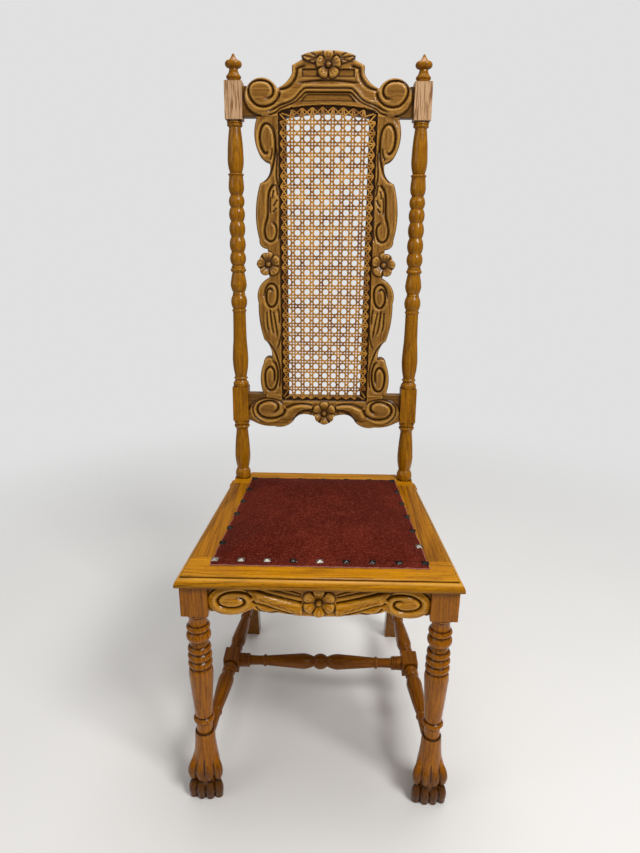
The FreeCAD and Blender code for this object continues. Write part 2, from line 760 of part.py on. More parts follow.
def moulded_board(name, outline, top_outline, on_edge):
    """Seat board with a quarter round and a step worked on its outer edges."""
    body = new_body(name)
    pad = add_pad(body, "XY_Plane", name + "_slab", lines(outline),
                  "board_thickness - moulding_step")
    doc.recompute()
    top = size("board_thickness") - size("moulding_step")
    slab = pad.Shape
    edges = []
    for number, edge in enumerate(slab.Edges, 1):
        middle = edge.CenterOfMass
        flat = abs(middle.z - top) < size("glue_line")
        if flat and on_edge(middle.x, middle.y):
            edges.append(f"Edge{number}")
    rounding = body.newObject("PartDesign::Fillet", name + "_round")
    rounding.Base = (pad, edges)
    bind(rounding, "Radius", "moulding_round")
    add_pad(body, "XY_Plane", name + "_field", lines(top_outline),
            "moulding_step + glue_line", top - size("glue_line"))
    body.Placement.Base = Vector(0, 0, size("seat_underside"))
    return body


def board_tenon(side, end, ease, name):
    """Stub tenon of a side seat board in the front or rear board."""
    e = f"({ease})"
    y = "front_board_end" if end == "front" else "rear_board_start"
    middle = side_x(size(y)) - size("side_board_width") / 2
    low_y = f"front_board_end - board_tenon_length - {e}" if end == "front" else y
    tenon = box(name, f"board_tenon_width + 2 * {e}", f"board_tenon_length + {e}",
                f"board_tenon_thickness + 2 * {e}", "0 mm", low_y,
                f"seat_underside + (board_thickness - board_tenon_thickness) / 2 - {e}")
    tenon.setExpression("Placement.Base.x", None)
    ease_size = size("glue_line") if ease == "glue_line" else 0
    tenon.Placement.Base.x = side * middle - size("board_tenon_width") / 2 - ease_size
    return tenon


def seat_boards(places, screws):
    """Four boards of the seat frame, with the moulding on the three outer edges."""
    inset = size("moulding_round") + size("glue_line")
    start = size("front_edge")
    front_end = size("front_board_end")
    rear_start = size("rear_board_start")
    rear_end = size("rear_board_end")
    post_line = size("post_front")
    clip = size("rear_corner_clip")
    tolerance = size("moulding_round")

    def near_side(x, y):
        return abs(abs(x) - side_x(y)) < tolerance / 2

    w0, w1 = side_x(start), side_x(front_end)
    front = moulded_board(
        "seat_board_front_board",
        [(-w0, start), (w0, start), (w1, front_end), (-w1, front_end)],
        [(-side_x(start + inset) + inset, start + inset),
         (side_x(start + inset) - inset, start + inset),
         (w1 - inset, front_end), (-w1 + inset, front_end)],
        lambda x, y: near_side(x, y) or abs(y - start) < tolerance / 2)
    mortises = [board_tenon(side, "front", "glue_line", "front_board_mortise_" + word)
                for side, word in SIDES]
    near_front = [place for row in places.values() for place in row if place[1] < front_end]
    front_screws = [place for place in screws if place[1] < front_end]
    keep(cut("seat_board_front", front, mortises + nail_holes("front_board", near_front)
             + screw_holes("front_board", front_screws)), "seat_board_front")

    wr = side_x(rear_start)
    inner = size("post_inner")
    outer = size("post_x") + size("post_half")
    wc = side_x(post_line - clip)
    rear = moulded_board(
        "seat_board_rear_board",
        [(-wr, rear_start), (wr, rear_start), (wc, post_line - clip), (outer, post_line),
         (inner, post_line), (inner, rear_end), (-inner, rear_end), (-inner, post_line),
         (-outer, post_line), (-wc, post_line - clip)],
        [(-wr + inset, rear_start), (wr - inset, rear_start),
         (wc - inset, post_line - clip), (outer - inset, post_line), (inner, post_line),
         (inner, rear_end), (-inner, rear_end), (-inner, post_line),
         (-outer + inset, post_line), (-wc + inset, post_line - clip)],
        lambda x, y: near_side(x, y) and y < post_line - clip)
    mortises = [board_tenon(side, "rear", "glue_line", "rear_board_mortise_" + word)
                for side, word in SIDES]
    near_rear = [place for row in places.values() for place in row if place[1] > rear_start]
    rear_screws = [place for place in screws if place[1] > rear_start]
    keep(cut("seat_board_rear", rear, mortises + nail_holes("rear_board", near_rear)
             + screw_holes("rear_board", rear_screws)), "seat_board_rear")

    width = size("side_board_width")
    for side, word in SIDES:
        name = "seat_board_" + word
        outline = [(side * w1, front_end), (side * wr, rear_start),
                   (side * (wr - width), rear_start), (side * (w1 - width), front_end)]
        field = [(side * (w1 - inset), front_end), (side * (wr - inset), rear_start),
                 (side * (wr - width), rear_start), (side * (w1 - width), front_end)]
        board = moulded_board(name + "_board", outline, field, near_side)
        tenons = [board_tenon(side, end, "glue_line * 0", f"{name}_{end}_tenon")
                  for end in ("front", "rear")]
        whole = fuse(name + "_whole", [board] + tenons)
        mine = [place for place in places[word] if front_end < place[1] < rear_start]
        keep(cut(name, whole, nail_holes(name, mine)), name)


# Distances of a screw from its block's square corner, as shares of the block's reach.
FRONT_SCREW_SHARES = (0.17, 0.33)
REAR_SCREW_SHARES = (0.28, 0.22)


def apron_back():
    """Depth of the front rail's back face."""
    return (size("leg_y") - size("leg_half") + size("rail_setback")
            + size("apron_relief") + size("rail_thickness"))


def corner_places():
    """The screw through each corner block, near its square corner, as (x, y)."""
    reach = size("corner_block_reach")
    front_x = size("leg_x") - size("leg_half") - reach * FRONT_SCREW_SHARES[0]
    front_y = apron_back() + reach * FRONT_SCREW_SHARES[1]
    rear_x = size("post_inner") - reach * REAR_SCREW_SHARES[0]
    rear_y = size("post_front") - reach * REAR_SCREW_SHARES[1]
    return [(side * x, y) for side, word in SIDES for x, y in ((front_x, front_y),
                                                               (rear_x, rear_y))]


def screw_holes(name, places):
    """Screw holes in the underside of a board."""
    holes = []
    for i, (x, y) in enumerate(places):
        low = size("seat_underside") - size("corner_block_height") - size("overrun")
        holes.append(cylinder(f"{name}_screw_{i + 1}", "screw_radius + glue_line / 2",
                              "corner_block_height + overrun + screw_bite + glue_line",
                              Vector(x, y, low)))
    return holes


def corner_blocks(screws):
    """Glued corner blocks inside the seat rails, notched round leg and post, and the
    screws that go up through them into the seat boards."""
    reach = size("corner_block_reach")
    gap = size("glue_line")
    inner_leg = size("leg_x") - size("leg_half") - gap
    leg_back = size("leg_y") + size("leg_half") + gap
    rail_back = apron_back()
    half = size("rail_thickness") / 2
    front_x = size("leg_x") + size("leg_half") - size("rail_setback") - 2 * half
    rear_x = size("post_x") + size("post_half") - size("rail_setback") - 2 * half
    front_y = size("leg_y") + size("leg_half")
    slope = (rear_x - front_x) / (size("post_front") - front_y)
    rail_front = size("post_y") - half
    post_side = size("post_inner") - gap
    post_line = size("post_front") - gap

    def rail_x(y):
        return front_x + slope * (y - front_y)

    for side, word in SIDES:
        front = [(inner_leg - reach, rail_back), (inner_leg, rail_back),
                 (inner_leg, leg_back), (rail_x(leg_back), leg_back),
                 (rail_x(leg_back + reach), leg_back + reach)]
        rear = [(post_side - reach, rail_front), (post_side, rail_front),
                (post_side, post_line), (rail_x(post_line), post_line),
                (rail_x(post_line - reach), post_line - reach)]
        for end, outline in (("front", front), ("rear", rear)):
            name = f"corner_block_{end}_{word}"
            block = new_body(name + "_body")
            add_pad(block, "XY_Plane", name + "_pad",
                    lines([(side * x, y) for x, y in outline]), "corner_block_height")
            block.Placement.Base = Vector(0, 0, size("seat_underside")
                                          - size("corner_block_height"))
            near = [place for place in screws
                    if place[0] * side > 0 and (place[1] < 0) == (end == "front")]
            holes = screw_holes(name, near)
            keep(cut(name, block, holes), name)
    shanks = []
    for i, (x, y) in enumerate(screws):
        name = f"seat_screw_{i + 1}"
        low = size("seat_underside") - size("corner_block_height")
        head = cylinder(name + "_head", "screw_head_radius", "screw_head_height",
                        Vector(x, y, low - size("screw_head_height")))
        shank = cylinder(name + "_shank", "screw_radius",
                         "corner_block_height + screw_bite + screw_head_height",
                         Vector(x, y, low - size("screw_head_height")))
        shanks.append(fuse(name, [head, shank]))
    group = doc.addObject("Part::Compound", "seat_screws_group")
    group.Links = shanks
    keep(group, "seat_screws")


def crest_outline():
    """Crest rail seen from the front: arched below, scrolled at both ends, stepped
    up to a leaf crest. Heights count from the rail's lower edge."""
    end_x = size("post_inner")
    tall = size("crest_height")
    radius = size("crest_scroll_radius")
    peak = tall + size("crest_peak") - size("crest_arch_rise") / 2
    scroll_x = end_x - radius * 1.13
    scroll_y = tall * 0.60
    rim_x = radius * 0.83
    rim_y = math.sqrt(radius * radius - rim_x * rim_x)
    inner = radius * 0.89
    inner_y = math.sqrt(radius * radius - inner * inner)
    shoulder = end_x * 0.42
    start = (end_x, 0)
    right = [(end_x, scroll_y + rim_y),
             (scroll_x + rim_x, scroll_y + rim_y),
             (scroll_x - inner, scroll_y + inner_y, scroll_x, scroll_y + radius),
             (shoulder, peak * 0.67, (scroll_x - inner) * 0.82, peak * 0.535),
             (shoulder, peak * 0.787),
             (end_x * 0.27, peak * 0.845),
             (end_x * 0.31, peak * 0.93, end_x * 0.305, peak * 0.88),
             (0, peak, end_x * 0.19, peak * 0.988)]
    half = size("opening_half")
    steps = right + mirrored_steps(start, right)
    steps += [(-half, 0), (half, 0, 0, size("crest_arch_rise")), start]
    return path(start, steps), scroll_x, scroll_y


def stile_tenon(side, end, ease, name):
    """Tenon of a back stile in the crest rail or the lower rail."""
    e = f"({ease})"
    near = "opening_half + cane_ledge + cane_recess"
    low = "crest_bottom" if end == "top" else f"lower_rail_top - stile_tenon_length - {e}"
    return box(name, f"stile_tenon_width + 2 * {e}", f"back_tenon_thickness + 2 * {e}",
               f"stile_tenon_length + {e}",
               f"{low_x(side, near, f'{near} + stile_tenon_width')} - {e}",
               f"-back_tenon_thickness / 2 - {e}", low)


def cane_outline(ease):
    """Edge of the caned panel: straight sides and foot, arched top."""
    half = size("opening_half") + size("cane_ledge") + ease
    bottom = size("lower_rail_top") - size("cane_ledge") - ease
    shoulder = size("crest_bottom") + size("cane_recess")
    top = size("crest_bottom") + size("crest_arch_rise") + size("cane_ledge") * 1.25 + ease
    corner = size("cane_ledge")
    start = (half, bottom)
    steps = [(half, shoulder),
             (half - corner, shoulder + corner * 0.85 + ease,
              half - corner * 0.33, shoulder + corner * 0.55 + ease),
             (-half + corner, shoulder + corner * 0.85 + ease, 0, top),
             (-half, shoulder, -half + corner * 0.33, shoulder + corner * 0.55 + ease),
             (-half, bottom), start]
    return path(start, steps)


def cane_ledge(name):
    """Tool that sinks the ledge on which the caning lies."""
    body = new_body(name)
    add_pad(body, "XZ_Plane", name + "_pad", cane_outline(size("glue_line")),
            "cane_recess + overrun + back_relief", -size("cane_recess"))
    body.Placement.Base = Vector(0, -size("back_board_thickness") / 2, 0)
    return body


def cane_panel():
    """Caned panel as one holed sheet on the ledge of the back frame."""
    columns = count("cane_column_count")
    rows = count("cane_row_count")
    pitch_x = size("caned_width") / (columns - 0.4)
    pitch_z = size("opening_height") / (rows - 1)
    lift = pitch_z / 7
    edges = cane_outline(0)
    for i in range(columns):
        for j in range(rows):
            centre = Vector((i - (columns - 1) / 2) * pitch_x,
                            size("lower_rail_top") + lift + j * pitch_z)
            edges.append(Part.Circle(centre, Vector(0, 0, 1), size("cane_hole_radius")))
    body = new_body("cane_panel_sheet")
    add_pad(body, "XZ_Plane", "cane_panel_pad", edges, "cane_thickness",
            -size("cane_recess"))
    body.Placement = BACK_FRAME * FreeCAD.Placement(
        Vector(0, -size("back_board_thickness") / 2, 0), FreeCAD.Rotation())
    keep(body, "cane_panel")


def crest_rail():
    """Crest rail with raised end scrolls and a flower under the leaf crest."""
    outline, scroll_x, scroll_y = crest_outline()
    board = new_body("crest_rail_board")
    add_pad(board, "XZ_Plane", "crest_pad", outline, "back_board_thickness", backwards=True)
    for side, word in SIDES:
        disc = Part.Circle(Vector(side * scroll_x, scroll_y), Vector(0, 0, 1),
                           size("crest_scroll_radius"))
        add_pad(board, "XZ_Plane", "crest_scroll_" + word, [disc], "back_relief")
    peak = size("crest_height") + size("crest_peak")
    flower = flower_outline(0, peak * 0.77, size("flower_radius") * 0.90, 5)
    add_pad(board, "XZ_Plane", "crest_flower", flower, "flower_height")
    board.Placement.Base = Vector(0, -size("back_board_thickness") / 2, size("crest_bottom"))
    tenons = [back_tenon(side, *CREST_TENON, "glue_line * 0", "crest_tenon_" + word)
              for side, word in SIDES]
    whole = fuse("crest_rail_whole", [board] + tenons)
    tools = [cane_ledge("crest_ledge")]
    tools += [stile_tenon(side, "top", "glue_line", "crest_mortise_" + word)
              for side, word in SIDES]
    keep(cut("crest_rail", whole, tools), "crest_rail", BACK_FRAME)


def lower_back_rail():
    """Lower rail of the back: scrolled ends, shallow arches and a middle flower."""
    end_x = size("post_inner")
    tall = size("lower_rail_height")
    belly = size("lower_rail_belly")
    flower = size("flower_radius")
    flower_y = tall * 0.275
    start = (end_x, tall)
    right = [(end_x, 0),
             (end_x * 0.67, -belly, end_x * 0.85, -belly * 0.8),
             (end_x * 0.39, 0, end_x * 0.485, -belly * 0.85),
             (end_x * 0.24, tall * 0.19, end_x * 0.33, tall * 0.15),
             (flower * 0.8, flower_y - flower * 0.26),
             (0, flower_y - flower, flower * 0.62, flower_y - flower * 0.78)]
    steps = right + mirrored_steps(start, right) + [start]
    board = new_body("lower_back_rail_board")
    add_pad(board, "XZ_Plane", "lower_rail_pad", path(start, steps),
            "back_board_thickness", backwards=True)
    add_pad(board, "XZ_Plane", "lower_rail_flower",
            flower_outline(0, flower_y, flower, 6), "flower_height")
    half_width = end_x * 0.21
    for side, word in SIDES:
        centre = Vector(side * (end_x * 0.97 - half_width), tall * 0.40)
        ring = Part.Ellipse(centre, half_width, tall * 0.40)
        add_pad(board, "XZ_Plane", "lower_rail_scroll_" + word, [ring], "back_relief")
    bottom = size("lower_rail_top") - tall
    board.Placement.Base = Vector(0, -size("back_board_thickness") / 2, bottom)
    tenons = [back_tenon(side, *LOWER_TENON, "glue_line * 0", "lower_tenon_" + word)
              for side, word in SIDES]
    whole = fuse("lower_back_rail_whole", [board] + tenons)
    tools = [cane_ledge("lower_ledge")]
    tools += [stile_tenon(side, "bottom", "glue_line", "lower_mortise_" + word)
              for side, word in SIDES]
    keep(cut("lower_back_rail", whole, tools), "lower_back_rail", BACK_FRAME)


def back_stile(side, word):
    """Carved stile of the cane frame: scrolls above and below a flower."""
    name = "back_stile_" + word
    near = size("opening_half")
    wide = size("stile_width")
    tall = size("opening_height")
    flower = size("flower_radius")
    middle = tall * 0.497
    flower_x = near + wide * 0.58

    def at(across_share, up_share):
        return (side * (near + wide * across_share), tall * up_share)

    start = at(0, 1)
    petal = flower * 0.96
    petals = [(petal * math.cos(math.radians(a)), petal * math.sin(math.radians(a)))
              for a in (60, 0, -60)]
    notch = flower * 0.8
    notches = [(notch * math.cos(math.radians(a)), notch * math.sin(math.radians(a)))
               for a in (90, 30, -30, -90)]
    steps = [
        at(0.90, 1),
        at(0.78, 0.852) + at(0.99, 0.935),
        at(0.50, 0.862) + at(0.64, 0.855),
        at(0.83, 0.780) + at(0.57, 0.805),
        at(0.88, 0.585) + at(0.985, 0.680),
        at(0.62, 0.552) + at(0.79, 0.558),
        (side * (flower_x + notches[0][0]), middle + notches[0][1])]
    for i, (px, py) in enumerate(petals):
        nx, ny = notches[i + 1]
        steps.append((side * (flower_x + nx), middle + ny,
                      side * (flower_x + px), middle + py))
    steps += [
        at(0.56, 0.448),
        at(0.94, 0.355) + at(0.81, 0.428),
        at(0.76, 0.213) + at(0.91, 0.283),
        at(0.51, 0.143) + at(0.56, 0.185),
        at(0.79, 0.125) + at(0.66, 0.146),
        at(0.82, 0.0) + at(0.91, 0.070),
        at(0, 0), start]
    board = new_body(name + "_board")
    add_pad(board, "XZ_Plane", name + "_pad", path(start, steps), "back_board_thickness",
            backwards=True)
    add_pad(board, "XZ_Plane", name + "_flower",
            flower_outline(side * flower_x, middle, flower * 0.9, 5), "flower_height")
    for key, x_share, y_share, wide_share in (("upper", 0.69, 0.925, 0.92),
                                              ("lower", 0.66, 0.073, 0.88)):
        centre = Vector(*at(x_share, y_share))
        ring = Part.Ellipse(centre, size("volute_half_height") * wide_share,
                            size("volute_half_width") * wide_share)
        ring.rotate(FreeCAD.Placement(Vector(0, 0, 0), Vector(0, 0, 1), 90))
        ring.Center = centre
        add_pad(board, "XZ_Plane", f"{name}_{key}_volute", [ring], "back_relief")
    board.Placement.Base = Vector(0, -size("back_board_thickness") / 2,
                                  size("lower_rail_top"))
    tenons = [stile_tenon(side, end, "glue_line * 0", f"{name}_{end}_tenon")
              for end in ("top", "bottom")]
    whole = fuse(name + "_whole", [board] + tenons)
    keep(cut(name, whole, [cane_ledge(name + "_ledge")]), name, BACK_FRAME)


def pad_half(y, border):
    """Half width of the upholstered field at one depth, inside a border."""
    share = (y - size("pad_front")) / (size("pad_rear") - size("pad_front"))
    width = size("pad_width_front") + share * (size("pad_width_rear") - size("pad_width_front"))
    return width / 2 - border


def crown(name, ease):
    """Crowned filling above the boards, lofted through cross sections along Y. Each
    section is an arc up from the edge, a low arc over the top and an arc down."""
    front = size("pad_front") + size("cloth_border_front") + ease
    rear = size("pad_rear") - size("cloth_border_rear") - ease
    border = size("cloth_border_side") + ease
    shoulder = size("pad_shoulder")
    base = size("seat_height")
    sections = []
    # Depth share along the pad, and share of the full crown's height there.
    stations = ((0, 0.10), (0.035, 0.52), (0.10, 0.82), (0.26, 0.97), (0.50, 1.0),
                (0.74, 0.97), (0.90, 0.82), (0.965, 0.52), (1, 0.10))
    for i, (depth_share, height_share) in enumerate(stations):
        y = front + depth_share * (rear - front)
        half = pad_half(y, border)
        rise = max(size("pad_crown") * height_share - ease, 2 * size("glue_line"))
        edge = max(rise * 0.12, size("glue_line"))
        steps = [(-half, edge),
                 (-half + shoulder, rise * 0.80, -half + shoulder * 0.36, rise * 0.52),
                 (half - shoulder, rise * 0.80, 0, rise),
                 (half, edge, half - shoulder * 0.36, rise * 0.52),
                 (half, 0), (-half, 0)]
        sketch = doc.addObject("Sketcher::SketchObject", f"{name}_section_{i + 1}")
        for edge_curve in path((-half, 0), steps):
            sketch.addGeometry(edge_curve, False)
        sketch.Placement = FreeCAD.Placement(Vector(0, y, base),
                                             FreeCAD.Rotation(Vector(1, 0, 0), 90))
        sections.append(sketch)
    loft = doc.addObject("Part::Loft", name)
    loft.Sections = sections
    loft.Solid = True
    loft.Ruled = False
    return loft


def seat_opening(name, gap, bottom, height):
    """Prism that fills the opening of the seat frame, clear of its boards."""
    width = size("side_board_width")
    y0 = size("front_board_end") + gap
    y1 = size("rear_board_start") - gap
    x0 = side_x(y0) - width - gap
    x1 = side_x(y1) - width - gap
    body = new_body(name)
    add_pad(body, "XY_Plane", name + "_pad",
            lines([(-x0, y0), (x0, y0), (x1, y1), (-x1, y1)]), height)
    body.Placement.Base = Vector(0, 0, bottom)
    return body


def upholstery(places):
    """Webbing, hessian, filling and velvet of the seat, from below upwards."""
    underside = size("seat_underside")
    lap = size("webbing_lap")
    front = size("front_board_end") - lap
    rear = size("rear_board_start") + lap
    straps = []
    number = count("webbing_strap_count")
    inner_rear = side_x(size("rear_board_start")) - size("side_board_width")
    for i in range(number):
        x = (i - (number - 1) / 2) * inner_rear * 2 / number
        strap = box(f"webbing_long_{i + 1}", "webbing_width", "0 mm + overrun",
                    "webbing_thickness", "0 mm", "0 mm", "seat_underside - webbing_thickness")
        strap.setExpression("Width", None)
        strap.Width = rear - front
        strap.setExpression("Placement.Base.x", None)
        strap.setExpression("Placement.Base.y", None)
        strap.Placement.Base = Vector(x - size("webbing_width") / 2, front,
                                      underside - size("webbing_thickness"))
        straps.append(strap)
        y = front + lap + (i + 0.5) * (rear - front - 2 * lap) / number
        half = side_x(y) - size("side_board_width") + lap
        strap = box(f"webbing_cross_{i + 1}", "0 mm + overrun", "webbing_width",
                    "webbing_thickness", "0 mm", "0 mm",
                    "seat_underside - 2 * webbing_thickness")
        strap.setExpression("Length", None)
        strap.Length = 2 * half
        strap.setExpression("Placement.Base.x", None)
        strap.setExpression("Placement.Base.y", None)
        strap.Placement.Base = Vector(-half, y - size("webbing_width") / 2,
                                      underside - 2 * size("webbing_thickness"))
        straps.append(strap)
    keep(fuse("seat_webbing", straps), "seat_webbing")
    gap = size("soft_gap")
    hessian = seat_opening("hessian_sheet", gap, underside, "hessian_thickness")
    keep(hessian, "hessian")
    low = underside + size("hessian_thickness")
    fill = seat_opening("stuffing_fill", gap, low, "board_thickness - hessian_thickness")
    top = crown("stuffing_crown", size("cloth_thickness") + gap)
    keep(fuse("seat_stuffing", [fill, top]), "seat_stuffing")
    sheet_body = new_body("velvet_sheet")
    y0 = size("pad_front")
    y1 = size("pad_rear")
    add_pad(sheet_body, "XY_Plane", "velvet_sheet_pad",
            lines([(-pad_half(y0, 0), y0), (pad_half(y0, 0), y0),
                   (pad_half(y1, 0), y1), (-pad_half(y1, 0), y1)]), "cloth_thickness")
    sheet_body.Placement.Base = Vector(0, 0, size("seat_height"))
    outer = fuse("velvet_whole", [sheet_body, crown("velvet_crown", 0.0)])
    everywhere = [place for row in places.values() for place in row]
    tools = [crown("velvet_hollow", size("cloth_thickness"))]
    keep(cut("velvet_cover", outer, tools + nail_holes("velvet", everywhere)),
         "velvet_cover")
    for word, row in places.items():
        seat_nails(word, row)


def build():
    """All sub-parts, from the floor upwards."""
    places = nail_places()
    screws = corner_places()
    for side, word in SIDES:
        front_leg(side, word)
        rear_post(side, word)
        side_rail(side, word)
        reach, depth = side_stretcher(side, word)
        back_stile(side, word)
    cross_stretcher(reach, depth)
    apron()
    rear_rail()
    crest_rail()
    lower_back_rail()
    cane_panel()
    seat_boards(places, screws)
    corner_blocks(screws)
    upholstery(places)


def write_parts():
    """Check every object and every sub-part, then write one STEP file each."""
    doc.recompute()
    for thing in doc.Objects:
        if "Invalid" in thing.State or "Error" in thing.State:
            raise RuntimeError(f"{thing.Name} failed: {thing.State}")
    os.makedirs("parts", exist_ok=True)
    for part in subparts:
        shape = part.Shape
        if shape.isNull() or not shape.isValid() or not shape.Solids:
            raise RuntimeError(f"{part.Label} has no sound solid")
        shape.exportStep(os.path.join("parts", part.Label + ".step"))
        print(f"{part.Label}: {len(shape.Solids)} solid(s), {shape.Volume / 1000:.1f} cm3")


build()
write_parts()
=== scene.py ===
import math
from functools import partial

import bpy
import numpy as np
from mathutils import Matrix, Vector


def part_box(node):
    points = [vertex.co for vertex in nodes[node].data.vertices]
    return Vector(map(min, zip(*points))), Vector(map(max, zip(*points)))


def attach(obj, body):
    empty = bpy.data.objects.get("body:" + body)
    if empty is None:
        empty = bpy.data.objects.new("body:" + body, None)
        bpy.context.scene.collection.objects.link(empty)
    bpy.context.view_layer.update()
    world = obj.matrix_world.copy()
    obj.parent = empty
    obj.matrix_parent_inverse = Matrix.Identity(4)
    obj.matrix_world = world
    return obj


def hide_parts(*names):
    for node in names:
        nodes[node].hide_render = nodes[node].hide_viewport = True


# High-backed caned side chair in golden oak. Lengths are millimetres until a mesh
# is made. +X is the sitter's left, +Y the back and +Z up, as in the frame.

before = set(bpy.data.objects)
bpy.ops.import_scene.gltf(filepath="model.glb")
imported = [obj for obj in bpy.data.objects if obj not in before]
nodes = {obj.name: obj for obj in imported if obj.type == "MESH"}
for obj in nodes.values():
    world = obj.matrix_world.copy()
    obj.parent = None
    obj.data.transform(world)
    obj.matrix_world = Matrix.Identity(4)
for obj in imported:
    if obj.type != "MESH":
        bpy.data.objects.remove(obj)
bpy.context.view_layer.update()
MM = 0.001


def span(node):
    """Lowest and highest corner of a node, in millimetres."""
    low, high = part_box(node)
    return np.array(low) / MM, np.array(high) / MM


# Places taken from the frame.
SEAT_TOP = span("seat_board_front")[1][2]
SEAT_UNDERSIDE = span("seat_board_front")[0][2]
APRON_BOTTOM = span("seat_rail_left")[0][2]
LEG_LOW, LEG_HIGH = span("front_leg_right")

# The raked plane of the back: its foot on the seat and its lean.
POST_Y = 147.5
RAKE = math.radians(3.28)
BACK_THICKNESS = 24.0
POST_INNER = 157.0
CREST_BOTTOM = 708.0
LOWER_RAIL_TOP = 184.8
LOWER_RAIL_HEIGHT = 54.0
OPENING_HALF = 78.0
OPENING_HEIGHT = CREST_BOTTOM - LOWER_RAIL_TOP
ARCH_RISE = 8.0
CANE_RECESS = 3.5
FLOWER_RADIUS = 24.0

# The cane's rows and columns of gaps. The columns draw together downwards.
CANE_FIRST_ROW = 187.8
CANE_PITCH_UP = 18.6
CANE_LAST = 28
CANE_PITCH_LOW = 17.97
CANE_PITCH_TOP = 18.86
PAIR_COLUMNS = np.arange(8) - 3.5
OPENING_COLUMNS = 4.09
HOLE_COLUMNS = 4.70
LEDGE_COLUMNS = 4.82
OPENING_FOOT = 180.3
HOLE_FOOT = 175.6
LEDGE_FOOT = 171.9

# The drilled holes: the row under the arch by its middle height and its fall at a
# distance, the highest at the sides, and a hole's depth and radius.
HOLE_HEAD = CREST_BOTTOM + 16
HOLE_ARCH = (725.2, 4.8, 70.5)
HOLE_SIDE_TOP = 713.0
HOLE_DEPTH = 3.0
HOLE_RADIUS = 3.3

LEG_X = 202.0
LEG_Y = -224.0
LEG_HALF = 22.5
LEG_BLOCK_BOTTOM = SEAT_UNDERSIDE - 58.5

# Carved boards: lattice step, rounding of the rim, height of the tool marks, and how
# many steps the average reaches that tells proud places from sunk ones.
CELL = 0.85
RIM_ROUNDING = 4.4
TOOL_MARK = 0.10
LEVEL_REACH = 4

# How finely curves, arcs, turnings and rounded blocks are divided, and how close points
# of a block lie that become one.
CURVE_STEPS = 10
ARC_STEPS = 24
TURNING_STEP = 1.4
BLOCK_CUTS = 14
WELD_GAP = 0.01


def back_place(x, depth, along):
    """Points of the raked back, from x, the depth behind its middle plane and the
    distance along the post above the seat."""
    y = POST_Y + depth * math.cos(RAKE) + along * math.sin(RAKE)
    z = SEAT_TOP + along * math.cos(RAKE) - depth * math.sin(RAKE)
    return np.stack([x, y, z], -1)


def cane_pitch(along):
    """Distance between the cane's columns at a place along the post."""
    share = (along - CANE_FIRST_ROW) / (CANE_LAST * CANE_PITCH_UP)
    return CANE_PITCH_LOW + (CANE_PITCH_TOP - CANE_PITCH_LOW) * share


def unit(t):
    """t held between 0 and 1."""
    return np.clip(t, 0, 1)


def bell(t):
    """1 at 0 and falling away to nothing on both sides."""
    return np.exp(-t ** 2)


def round_top(t):
    """Height of a half circle of radius 1 over t, and 0 beyond it."""
    return np.sqrt(unit(1 - t ** 2))


def smooth_step(t):
    """0 below 0, 1 above 1 and an S between them."""
    t = unit(t)
    return t * t * (3 - 2 * t)


def through(points):
    """Smooth curve through points: each span is the cubic whose slope at a point is
    half the step between that point's neighbours."""
    points = np.asarray(points, float)
    line = np.concatenate([2 * points[:1] - points[1:2], points,
                           2 * points[-1:] - points[-2:-1]])
    a, b, c, d = (p[:, None, :] for p in (line[:-3], line[1:-2], line[2:-1], line[3:]))
    t = np.linspace(0, 1, CURVE_STEPS, endpoint=False)[None, :, None]
    curve = 0.5 * (2 * b + (c - a) * t + (2 * a - 5 * b + 4 * c - d) * t ** 2
                   + (3 * b - a - 3 * c + d) * t ** 3)
    return np.concatenate([curve.reshape(-1, 2), points[-1:]])


def arc_path(start, steps):
    """Outline from start through steps: (x, y) is a straight run and (x, y, mx, my)
    the circular arc to (x, y) through (mx, my)."""
    parts = [np.array([start], float)]
    here = np.array(start, float)
    for step in steps:
        end = np.array(step[:2], float)
        if len(step) == 4:
            parts.append(arc_points(here, np.array(step[2:], float), end))
        parts.append(end[None])
        here = end
    return np.concatenate(parts)


def arc_points(start, middle, end):
    """Points between the ends of the circle arc that runs through three points."""
    a, b = middle - start, end - start
    double = 2 * (a[0] * b[1] - a[1] * b[0])
    centre = start + np.array([b[1] * (a @ a) - a[1] * (b @ b),
                               a[0] * (b @ b) - b[0] * (a @ a)]) / double
    angles = [math.atan2(*(p - centre)[::-1]) for p in (start, middle, end)]
    turn = (angles[2] - angles[0]) % (2 * math.pi)
    if (angles[1] - angles[0]) % (2 * math.pi) > turn:
        turn -= 2 * math.pi
    angle = angles[0] + turn * np.linspace(0, 1, ARC_STEPS + 2)[1:-1]
    radius = math.dist(centre, start)
    return centre + radius * np.stack([np.cos(angle), np.sin(angle)], -1)


def nearest(points, path):
    """For each point, the distance to a polyline, the closest place on it and the
    length of polyline up to that place."""
    start, step = path[:-1], np.diff(path, axis=0)
    length = np.hypot(*step.T)
    keep = length > 1e-6
    start, step, length = start[keep], step[keep], length[keep]
    before = np.cumsum(length) - length
    distance = np.empty(len(points))
    place = np.empty((len(points), 2))
    along = np.empty(len(points))
    chunk = 4000
    for low in range(0, len(points), chunk):
        p = points[low:low + chunk, None, :]
        share = unit(((p - start) * step).sum(-1) / length ** 2)
        spot = start + share[..., None] * step
        gap = np.hypot(*np.moveaxis(p - spot, -1, 0))
        best = gap.argmin(1)
        rows = np.arange(len(best))
        distance[low:low + chunk] = gap[rows, best]
        place[low:low + chunk] = spot[rows, best]
        along[low:low + chunk] = before[best] + share[rows, best] * length[best]
    return distance, place, along


def inside(points, ring):
    """Whether each point lies in a closed outline: a ray from it crosses the outline
    an odd number of times."""
    x, y = points.T
    odd = np.zeros(len(points), bool)
    for (ax, ay), (bx, by) in zip(ring, np.roll(ring, -1, 0)):
        if ay != by:
            crosses = (ay > y) != (by > y)
            odd ^= crosses & (x < ax + (y - ay) * (bx - ax) / (by - ay))
    return odd


